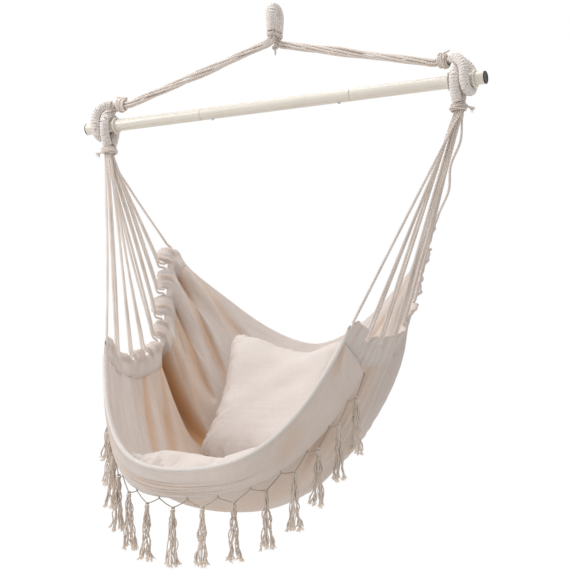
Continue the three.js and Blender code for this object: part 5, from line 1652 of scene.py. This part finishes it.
def seam_line(bag):
    t = np.linspace(0, 4, SEAM_STEPS, endpoint=False)
    side, share = t.astype(int), (t % 1) * 2 - 1
    a = np.choose(side, [share, np.ones_like(t), -share, -np.ones_like(t)]) * SEAM_SHARE
    b = np.choose(side, [-np.ones_like(t), share, np.ones_like(t), -share]) * SEAM_SHARE
    return cushion_middle(bag, a, b)[0]


print("slack bags:", [len(slack_bag(bag)[1]) for bag in (SEAT, PILLOW)], "faces")

# %% Reading meshes
NEAREST_BLOCK = 2000


def points_of(mesh, field="co"):
    values = np.empty(len(mesh.vertices) * 3, np.float32)
    mesh.vertices.foreach_get(field, values)
    return values.reshape(-1, 3)


def evaluated_mesh(piece):
    graph = bpy.context.evaluated_depsgraph_get()
    return bpy.data.meshes.new_from_object(piece.evaluated_get(graph))


def nearest(points, targets):
    """For each point the number of the nearest target, and how far it is."""
    best = np.empty(len(points), int)
    far = np.empty(len(points))
    for start in range(0, len(points), NEAREST_BLOCK):
        block = slice(start, start + NEAREST_BLOCK)
        gaps = np.linalg.norm(points[block, None, :] - targets[None, :, :], axis=-1)
        best[block] = gaps.argmin(1)
        far[block] = gaps.min(1)
    return best, far


# %% [markdown]
# ## Filling the bags
# The slack bag is remeshed evenly first, because simulated cloth creases along long thin faces. Pressure
# fills it, and a soft cap keeps any point from moving too far.

# %% Filling a bag
VOXEL = 6 * MM
FRAMES = 20
SEAM_HELD = 6.5 * MM
UNDER_MOVES = 0.06
CLOTH_SETTINGS = {
    "vertex_group_mass": "seam", "pin_stiffness": 1.0, "quality": 6, "mass": 0.25,
    "tension_stiffness": 12, "compression_stiffness": 12, "shear_stiffness": 6,
    "bending_stiffness": 0.25, "shrink_min": -0.06,
    "use_pressure": True, "uniform_pressure_force": 4.0,
}


def blown_points(piece, bag):
    _, far = nearest(points_of(piece.data).astype(float), seam_line(bag))
    held = piece.vertex_groups.new(name="seam")
    held.add([int(i) for i in np.flatnonzero(far < SEAM_HELD)], 1.0, "REPLACE")
    cloth = piece.modifiers.new("fill", "CLOTH")
    for setting, value in CLOTH_SETTINGS.items():
        setattr(cloth.settings, setting, value)
    cloth.settings.effector_weights.gravity = 0
    cloth.point_cache.frame_start, cloth.point_cache.frame_end = 1, FRAMES
    for step in range(1, FRAMES + 1):
        bpy.context.scene.frame_set(step)
    blown = points_of(evaluated_mesh(piece)).astype(float)
    piece.modifiers.clear()
    bpy.context.scene.frame_set(1)
    return blown


def blow_up(piece, bag):
    """Fills the bag. Its upper side may swell up to the cap, and its underside hardly moves."""
    rest = points_of(piece.data).astype(float)
    move = blown_points(piece, bag) - rest
    steps = np.linspace(-1, 1, 33)
    middle = cushion_middle(bag, *np.meshgrid(steps, steps))[0].reshape(-1, 3)
    closest, _ = nearest(rest, middle)
    over = ((rest - middle[closest]) @ way_out(bag))[:, None]
    free = smooth_step(-6 * MM, 8 * MM, over)
    far = np.linalg.norm(move, axis=1, keepdims=True)
    capped = move / (1 + (far / bag["swell"]) ** 3) ** (1 / 3)
    moved = rest + capped * (UNDER_MOVES + (1 - UNDER_MOVES) * free)
    piece.data.vertices.foreach_set("co", moved.astype(np.float32).ravel())
    piece.data.update()
    print(piece.name, "moved up to", round(float(far.max()) * 1000, 1), "mm before the cap")


def filled_bag(name, bag):
    piece = mesh_object(name + "_slack", *slack_bag(bag))
    remesh = piece.modifiers.new("even", "REMESH")
    remesh.mode = "VOXEL"
    remesh.voxel_size = VOXEL
    even = evaluated_mesh(piece)
    piece.modifiers.clear()
    piece.data = even
    blow_up(piece, bag)
    finer = piece.modifiers.new("finer", "SUBSURF")
    finer.levels = finer.render_levels = 1
    smooth = evaluated_mesh(piece)
    bpy.data.objects.remove(piece)
    return smooth


# %% Puckers and both cushions
PUCKER_PITCH, PUCKER_REACH, PUCKER_DEPTH = 17 * MM, 22 * MM, 2.2 * MM
DENT_WAVES, DENT_DEPTH = 26, 1.5 * MM
WELT_RADIUS = 1.7 * MM


def puckered(mesh, bag, seed):
    chance = np.random.default_rng(seed)
    places = points_of(mesh).astype(float)
    normals = points_of(mesh, "normal")
    ring = seam_line(bag)
    closest, far = nearest(places, ring)
    walked = closest / len(ring) * length_of(ring)
    phase = walked / PUCKER_PITCH * 2 * np.pi + 1.7 * np.sin(walked * 31) + 1.1 * np.sin(walked * 67)
    nearness = np.exp(-far / PUCKER_REACH)
    pucker = PUCKER_DEPTH * np.sin(phase) * nearness * smooth_step(3 * MM, 9 * MM, far)
    dents = np.zeros(len(places))
    for _ in range(DENT_WAVES):
        way = unit(chance.normal(size=3)) * chance.uniform(40, 95)
        dents += np.sin(places @ way + chance.uniform(0, 6))
    dents = DENT_DEPTH * dents / math.sqrt(DENT_WAVES) * smooth_step(4 * MM, 40 * MM, far)
    return places + normals * (pucker + dents)[:, None]


def dress_cushion(name, bag, node, seed):
    mesh = filled_bag(name, bag)
    places = puckered(mesh, bag, seed)
    way = way_out(bag)
    along = np.cross(way, (1.0, 0, 0))
    bolt = np.column_stack([places[:, 0], places @ along, places @ way * 0.3])
    faces = [list(p.vertices) for p in mesh.polygons]
    notes = {"bolt_place": bolt, "fold_depth": np.zeros(len(places))}
    piece = make_piece(
        name, (places, faces), node, cushion_cloth, [node], notes
    )
    ring = seam_line(bag)
    welt = plain_yarn(np.vstack([ring, ring[:1]]), [WELT_RADIUS], 8, way)
    flat = np.zeros(len(welt[0]))
    notes = {
        "bolt_place": np.column_stack([welt[0][:, 0], welt[0] @ along, flat]), "fold_depth": flat
    }
    make_piece(f"{name}_seam", welt, node, cushion_cloth, [], notes)
    print(name, "points:", len(places), "seam", round(length_of(ring), 3), "m")


dress_cushion("seat_cushion_filled", SEAT, "seat_cushion", seed=5)
dress_cushion("back_pillow_filled", PILLOW, "back_pillow", seed=6)

# %% [markdown]
# ## The spreader bar
# Three steel tubes in ivory enamel push into each other and lock with snap buttons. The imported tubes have
# few sides, so finer ones are turned here from the same profile: a lathe, which is one outline spun round the
# bar's axis, gives them. The button holes are cut after. At the cut edges the enamel has rubbed thin.

# %% Enamel, plastic and steel
def enamel_finish():
    finish, tree, shader = new_finish("ivory_enamel", roughness=0.3, coat=0.35)
    place = own_place(tree)
    peel, cloud = noise(tree, place, 170.0, 1.0), noise(tree, place, 9.0, 3.0)
    rub = noise(tree, place, 650.0, 4.0, 0.7)
    edge = wire(tree, "Attribute", 2, {"attribute_name": "edge_wear"})
    cloudy = stretch(tree, cloud, 0.35, 0.65)
    paint = blend_tones(tree, cloudy, tone(236, 229, 217), tone(239, 233, 222))
    worn = stretch(tree, times(tree, edge, rub), 0.42, 0.5)
    colour = blend_tones(tree, worn, paint, tone(176, 170, 156))
    dress(tree, shader, colour, stretch(tree, cloud, 0.3, 0.7, 0.26, 0.32), peel, 0.05, 0.0002)
    return finish


def plastic_finish():
    finish, tree, shader = new_finish("black_plastic", roughness=0.45)
    place = own_place(tree)
    grain, cloud = noise(tree, place, 1500.0, 2.0), noise(tree, place, 60.0, 3.0)
    cloudy = stretch(tree, cloud, 0.35, 0.7)
    colour = blend_tones(tree, cloudy, tone(30, 30, 31), tone(52, 52, 54))
    dress(tree, shader, colour, stretch(tree, grain, 0.3, 0.7, 0.38, 0.58), grain, 0.3, 0.0002)
    return finish


def steel_finish():
    finish, tree, shader = new_finish("bright_steel", roughness=0.32, metallic=1.0)
    brushed = wire(tree, "Mapping", Vector=own_place(tree), Scale=(60.0, 1800.0, 1800.0))
    lines = noise(tree, brushed, 1.0, 3.0)
    colour = blend_tones(tree, lines, tone(176, 178, 182), tone(212, 213, 216))
    dress(tree, shader, colour, stretch(tree, lines, 0.3, 0.7, 0.24, 0.42), lines, 0.2, 0.0001)
    return finish


enamel, plastic, steel = enamel_finish(), plastic_finish(), steel_finish()
print("finishes of the bar:", enamel.name, plastic.name, steel.name)

# %% Turning on the lathe
def turned(profile, sides=64, about="X"):
    """An outline of (place along, radius) spun round the bar's axis, or round an upright one."""
    profile = np.asarray(profile, float)
    around = 2 * np.pi * np.arange(sides) / sides
    x = np.repeat(profile[:, :1], sides, axis=1)
    ring = profile[:, 1:2]
    places = np.stack([x, ring * np.cos(around), ring * np.sin(around)], axis=-1)
    if about == "Z":
        places = places[..., [1, 2, 0]]
    rows = np.arange(len(profile))[:, None]
    this_ring, next_ring = rows * sides, (rows + 1) % len(profile) * sides
    k = np.arange(sides)[None, :]
    next_k = (k + 1) % sides
    quads = np.stack(
        [this_ring + k, this_ring + next_k, next_ring + next_k, next_ring + k], axis=-1
    )
    return places.reshape(-1, 3), quads.reshape(-1, 4).tolist()


def facing_out(part):
    """Turns the faces of a closed mesh outwards, by the sign of its volume."""
    places, faces = part
    corners = np.array([[f[0], f[i], f[i + 1]] for f in faces for i in range(1, len(f) - 1)])
    a, b, c = (places[corners[:, k]] for k in range(3))
    volume = (a * np.cross(b, c)).sum() / 6
    return (places, faces) if volume > 0 else (places, [f[::-1] for f in faces])


def crisp(piece, angle=40):
    piece.data.set_sharp_from_angle(angle=math.radians(angle))


def wear_note(places, edges, reach=2.2 * MM):
    """How near each point lies to a worn edge of the bar, 1 on it and fading over the reach."""
    gaps = np.min(np.abs(places[:, 0][:, None] - np.array(edges)[None, :]), axis=1)
    return np.exp(-gaps / reach)


# %% [markdown]
# ## The three tubes
# The end tubes are swaged, which means squeezed narrower, where they slip into the middle one. The button
# holes could be dark dots in the finish, but the buttons stand in them, so they are cut through the wall.

# %% Tubes
TUBE_WALL = 1.5 * MM
JOINT = 187 * MM
BUTTON_PLACE = JOINT - 28 * MM
TUBE_END = 497.5 * MM
SLIP = 0.3 * MM
SOFT_EDGE = 0.35 * MM
BORE = TUBE_RADIUS - TUBE_WALL
SWAGE = BORE - SLIP
SWAGE_BORE = SWAGE - TUBE_WALL
SWAGE_START = JOINT - 57 * MM
SHOULDER = JOINT + SLIP
HOLE_RADIUS, HOLE_WEAR = 3.3 * MM, 1.2 * MM
AXIS = 1e-5
DRILL = [(-20 * MM, AXIS), (-20 * MM, HOLE_RADIUS), (0, HOLE_RADIUS), (0, AXIS)]


def cut_hole(piece, hole):
    """Cuts a hole up through the underside of the tube at a place along the bar."""
    places, faces = turned(DRILL, sides=32, about="Z")
    places, faces = facing_out((places + (hole, 0, BAR_HEIGHT), faces))
    cutter = mesh_object("cutter", places, faces)
    cut = piece.modifiers.new("hole", "BOOLEAN")
    cut.operation, cut.object, cut.solver = "DIFFERENCE", cutter, "EXACT"
    made = evaluated_mesh(piece)
    piece.modifiers.clear()
    piece.data = made
    bpy.data.objects.remove(cutter)


def tube_piece(name, profile, holes, node, edges):
    places, faces = facing_out(turned(profile))
    tube = (places + (0, 0, BAR_HEIGHT), faces)
    piece = make_piece(name, tube, "spreader_bar", enamel, [node])
    for hole in holes:
        cut_hole(piece, hole)
    places = points_of(piece.data).astype(float)
    note = wear_note(places, edges)
    for hole in holes:
        rim = np.abs(np.hypot(places[:, 0] - hole, places[:, 1]) - HOLE_RADIUS)
        note = np.maximum(note, np.where(places[:, 2] < BAR_HEIGHT, np.exp(-rim / HOLE_WEAR), 0))
    wear = piece.data.attributes.new("edge_wear", "FLOAT", "POINT")
    wear.data.foreach_set("value", note.astype(np.float32))
    crisp(piece)
    print(name, "faces:", len(piece.data.polygons))


middle_profile = [
    (-JOINT, BORE),
    (-JOINT, TUBE_RADIUS - SOFT_EDGE),
    (-JOINT + SOFT_EDGE, TUBE_RADIUS),
    *[(x * MM, TUBE_RADIUS) for x in range(-180, 181, 12)],
    (JOINT - SOFT_EDGE, TUBE_RADIUS),
    (JOINT, TUBE_RADIUS - SOFT_EDGE),
    (JOINT, BORE),
]
tube_piece(
    "middle_tube_turned", middle_profile, [BUTTON_PLACE, -BUTTON_PLACE], "middle_tube",
    [-JOINT, JOINT],
)
end_profile = [
    (SWAGE_START, SWAGE_BORE),
    (SWAGE_START, SWAGE - SOFT_EDGE),
    (SWAGE_START + SOFT_EDGE, SWAGE),
    (SHOULDER, SWAGE),
    (SHOULDER, TUBE_RADIUS - SOFT_EDGE),
    (SHOULDER + SOFT_EDGE, TUBE_RADIUS),
    *[(x * MM, TUBE_RADIUS) for x in range(200, 490, 12)],
    (TUBE_END - SOFT_EDGE, TUBE_RADIUS),
    (TUBE_END, TUBE_RADIUS - SOFT_EDGE),
    (TUBE_END, BORE),
    (SHOULDER + 3 * MM, BORE),
    (SHOULDER, SWAGE_BORE),
]
for side, sign in (("right", 1), ("left", -1)):
    profile = [(sign * x, r) for x, r in end_profile]
    edges = [sign * SHOULDER, sign * TUBE_END]
    tube_piece(f"{side}_end_tube_turned", profile, [sign * BUTTON_PLACE], f"{side}_end_tube", edges)

# %% [markdown]
# ## Collars, caps and buttons
# Welded collars keep the eyes from sliding along the bar, black caps close the tube, and two steel buttons
# lock the sections. They are small, so a rounded outline on the lathe is all that they need. The springs
# that push the buttons out lie hidden inside the tube, so they stay as packed and only get the steel finish.

# %% Outlines of the small fittings
COLLAR_RADIUS, COLLAR_THICK, COLLAR_ROUND = 20 * MM, 4 * MM, 1.3 * MM
COLLAR_BORE = TUBE_RADIUS + 0.7 * MM
COLLAR_PLACES = (("inner", 418 * MM), ("outer", 476 * MM))
CAP_END = 500 * MM
BUTTON_STEM, BUTTON_HEAD, CROWN_TALL = 3 * MM, 5 * MM, 1.2 * MM
BUTTON_HEAD_TOP = math.sqrt(SWAGE_BORE**2 - BUTTON_HEAD**2) - SLIP


def rounded_disc(centre, thick, bore, radius, round_by):
    low, high = centre - thick / 2, centre + thick / 2
    insets = [
        (round_by * (1 - math.sin(t)), radius - round_by * (1 - math.cos(t)))
        for t in np.linspace(0, np.pi / 2, 5)
    ]
    first = [(low + inset, r) for inset, r in insets[::-1]]
    second = [(high - inset, r) for inset, r in insets]
    return [(low, bore), *first, *second, (high, bore)]


CAP = [
    (TUBE_END - 14 * MM, AXIS),
    (TUBE_END - 14 * MM, BORE - SLIP - 0.8 * MM),
    (TUBE_END - 13 * MM, BORE - SLIP),
    (TUBE_END + SLIP, BORE - SLIP),
    (TUBE_END + SLIP, TUBE_RADIUS - 0.3 * MM),
    (TUBE_END + 0.8 * MM, TUBE_RADIUS),
    (CAP_END - 0.9 * MM, TUBE_RADIUS),
    (CAP_END - 0.3 * MM, TUBE_RADIUS - 0.4 * MM),
    (CAP_END, TUBE_RADIUS - 1.2 * MM),
    (CAP_END, TUBE_RADIUS - 3 * MM),
    (CAP_END - 0.7 * MM, TUBE_RADIUS - 3.8 * MM),
    (CAP_END - 0.7 * MM, 1.6 * MM),
    (CAP_END - 1.0 * MM, 1.2 * MM),
    (CAP_END - 1.0 * MM, AXIS),
]
CROWN = [
    (-TUBE_RADIUS - 3 * MM + CROWN_TALL * (1 - math.cos(t)), BUTTON_STEM * math.sin(t))
    for t in np.linspace(0.02, np.pi / 2, 7)
]
BUTTON = [
    (-BUTTON_HEAD_TOP + 1.5 * MM, AXIS),
    (-BUTTON_HEAD_TOP + 1.5 * MM, 4.8 * MM),
    (-BUTTON_HEAD_TOP + 1.2 * MM, BUTTON_HEAD),
    (-BUTTON_HEAD_TOP, BUTTON_HEAD),
    (-BUTTON_HEAD_TOP, BUTTON_STEM),
    *CROWN[::-1],
]

# %% Small fittings
def fitting(
    name, profile, finish, node, about="X", offset=(0, 0, 0), body="spreader_bar", sides=64
):
    places, faces = facing_out(turned(profile, sides, about))
    places = places + np.array(offset) + (0, 0, BAR_HEIGHT)
    notes = {"edge_wear": wear_note(places, [places[:, 0].min(), places[:, 0].max()], 0.8 * MM) * 0.8}
    piece = make_piece(name, (places, faces), body, finish, [node], notes)
    crisp(piece, 50)


for side, sign in (("right", 1), ("left", -1)):
    for where, place in COLLAR_PLACES:
        ring = rounded_disc(sign * place, COLLAR_THICK, COLLAR_BORE, COLLAR_RADIUS, COLLAR_ROUND)
        collar = f"{side}_{where}_collar"
        fitting(f"{collar}_turned", ring, enamel, collar)
    cap = [(sign * x, r) for x, r in CAP]
    fitting(f"{side}_end_cap_moulded", cap, plastic, f"{side}_end_cap")
    fitting(
        f"{side}_snap_button_turned", BUTTON, steel, f"{side}_snap_button",
        about="Z", offset=(sign * BUTTON_PLACE, 0, 0), body=f"{side}_button", sides=40,
    )
    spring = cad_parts[f"{side}_button_spring"]
    spring.data.materials.clear()
    spring.data.materials.append(steel)
print("collars, caps and buttons made")

# %% [markdown]
# ## Measuring the cloth
# The sling's and the flap's widths, lengths and areas, measured over the cloth.

# %% Sheets
def spans(places, axis):
    """The lengths of a sheet's columns (axis 0) or rows (axis 1), measured over the cloth."""
    return np.linalg.norm(np.diff(places, axis=axis), axis=-1).sum(axis)


def area_of(places):
    across, along = np.diff(places, axis=1)[:-1], np.diff(places, axis=0)[:, :-1]
    return float(np.linalg.norm(np.cross(across, along), axis=-1).sum())


for name, places in (("sling", sling_places), ("flap", flap_places)):
    for what, axis in (("widths", 1), ("lengths", 0)):
        sizes = spans(places, axis)
        print(name, what, sizes.min().round(3), "to", sizes.max().round(3), "m")
    print(name, "area", round(area_of(places), 3), "square metres")

# %% [markdown]
# ## Floor, light and background
# The photograph is lit softly from the front and above, before pure white. Lamps strong enough to burn a real
# floor to white would burn the canvas too, so the background is made white only for what the camera and
# reflections see, and the object is lit at a plain level. The floor lies below the hanging chair.

# %% Floor
FLOOR_HEIGHT = -1.72
FLOOR_REACH = 9.0
FLOOR_RINGS, FLOOR_SIDES = 12, 64
FLOOR_GREY, FLOOR_WHITENED = 0.86, 0.6


def floor_mesh():
    sides = FLOOR_SIDES
    radii = FLOOR_REACH * (np.arange(FLOOR_RINGS + 1) / FLOOR_RINGS) ** 1.5
    around = 2 * np.pi * np.arange(sides) / sides
    places = [(0, 0, FLOOR_HEIGHT)]
    for radius in radii[1:]:
        places += [(radius * math.cos(a), radius * math.sin(a), FLOOR_HEIGHT) for a in around]
    faces = [[0, 1 + k, 1 + (k + 1) % sides] for k in range(sides)]
    for ring in range(FLOOR_RINGS - 1):
        inner, outer = 1 + ring * sides, 1 + (ring + 1) * sides
        for k in range(sides):
            following = (k + 1) % sides
            faces.append([inner + k, outer + k, outer + following, inner + following])
    return places, faces


floor = mesh_object("floor", *floor_mesh())
floor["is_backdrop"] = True
floor_finish, tree, shader = new_finish("pale_floor", roughness=0.9)
shader.inputs["Base Color"].default_value = (FLOOR_GREY, FLOOR_GREY, FLOOR_GREY, 1)
white = wire(tree, "Emission", Color=(1, 1, 1, 1), Strength=1.0)
seen = times(tree, wire(tree, "LightPath", 0), FLOOR_WHITENED)
mix = wire(tree, "MixShader", 0, n0=seen, n1=shader.outputs[0], n2=white)
tree.links.new(mix, tree.nodes["Material Output"].inputs["Surface"])
floor.data.materials.append(floor_finish)
print("floor at", FLOOR_HEIGHT)

# %% [markdown]
# ## Lamps and world
# Small lamps would draw hard edges that the photograph doesn't have, so both are broad: one in front to the
# left and one above. The world gives the even light between them, a little stronger from above.

# %% Lamps and world
SCENE_MIDDLE = Vector((0, 0, -0.7))
WORLD_LOW, WORLD_HIGH = 0.27, 0.70
WARM_WHITE = (1, 0.98, 0.957, 1)


def soft_lamp(name, place, size, power):
    data = bpy.data.lights.new(name, "AREA")
    data.size, data.energy = size, power
    lamp = bpy.data.objects.new(name, data)
    bpy.context.scene.collection.objects.link(lamp)
    lamp.location = place
    lamp.rotation_euler = (SCENE_MIDDLE - Vector(place)).to_track_quat("-Z", "Y").to_euler()


soft_lamp("front_lamp", place=(-2.5, -2.1, 1.2), size=1.6, power=46)
soft_lamp("top_lamp", place=(-0.1, -0.1, 2.3), size=2.2, power=40)

world = bpy.data.worlds.new("studio")
bpy.context.scene.world = world
world.use_nodes = True
tree = world.node_tree
lit = tree.nodes["Background"]
direction = wire(tree, "TexCoord", 0)
split = tree.nodes.new("ShaderNodeSeparateXYZ")
tree.links.new(direction, split.inputs[0])
level = stretch(tree, split.outputs[2], -0.6, 0.9, WORLD_LOW, WORLD_HIGH)
tree.links.new(level, lit.inputs["Strength"])
lit.inputs["Color"].default_value = WARM_WHITE
seen_white = wire(tree, "Background", Color=(1, 1, 1, 1), Strength=1.0)
path = tree.nodes.new("ShaderNodeLightPath")
camera_ray, glossy_ray, transmission_ray = (
    path.outputs[f"Is {ray} Ray"] for ray in ("Camera", "Glossy", "Transmission")
)
seen = sums(tree, "MAXIMUM", sums(tree, "MAXIMUM", camera_ray, glossy_ray), transmission_ray)
mix = wire(tree, "MixShader", 0, n0=seen, n1=lit.outputs[0], n2=seen_white)
tree.links.new(mix, tree.nodes["World Output"].inputs["Surface"])
bpy.context.scene.view_settings.view_transform = "Standard"

# %% Sizes and finish
visual_box = [list(corner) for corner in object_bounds()]
for name, box in (("cad", cad_box), ("visual", visual_box)):
    print(name, [[round(c, 3) for c in corner] for corner in box])
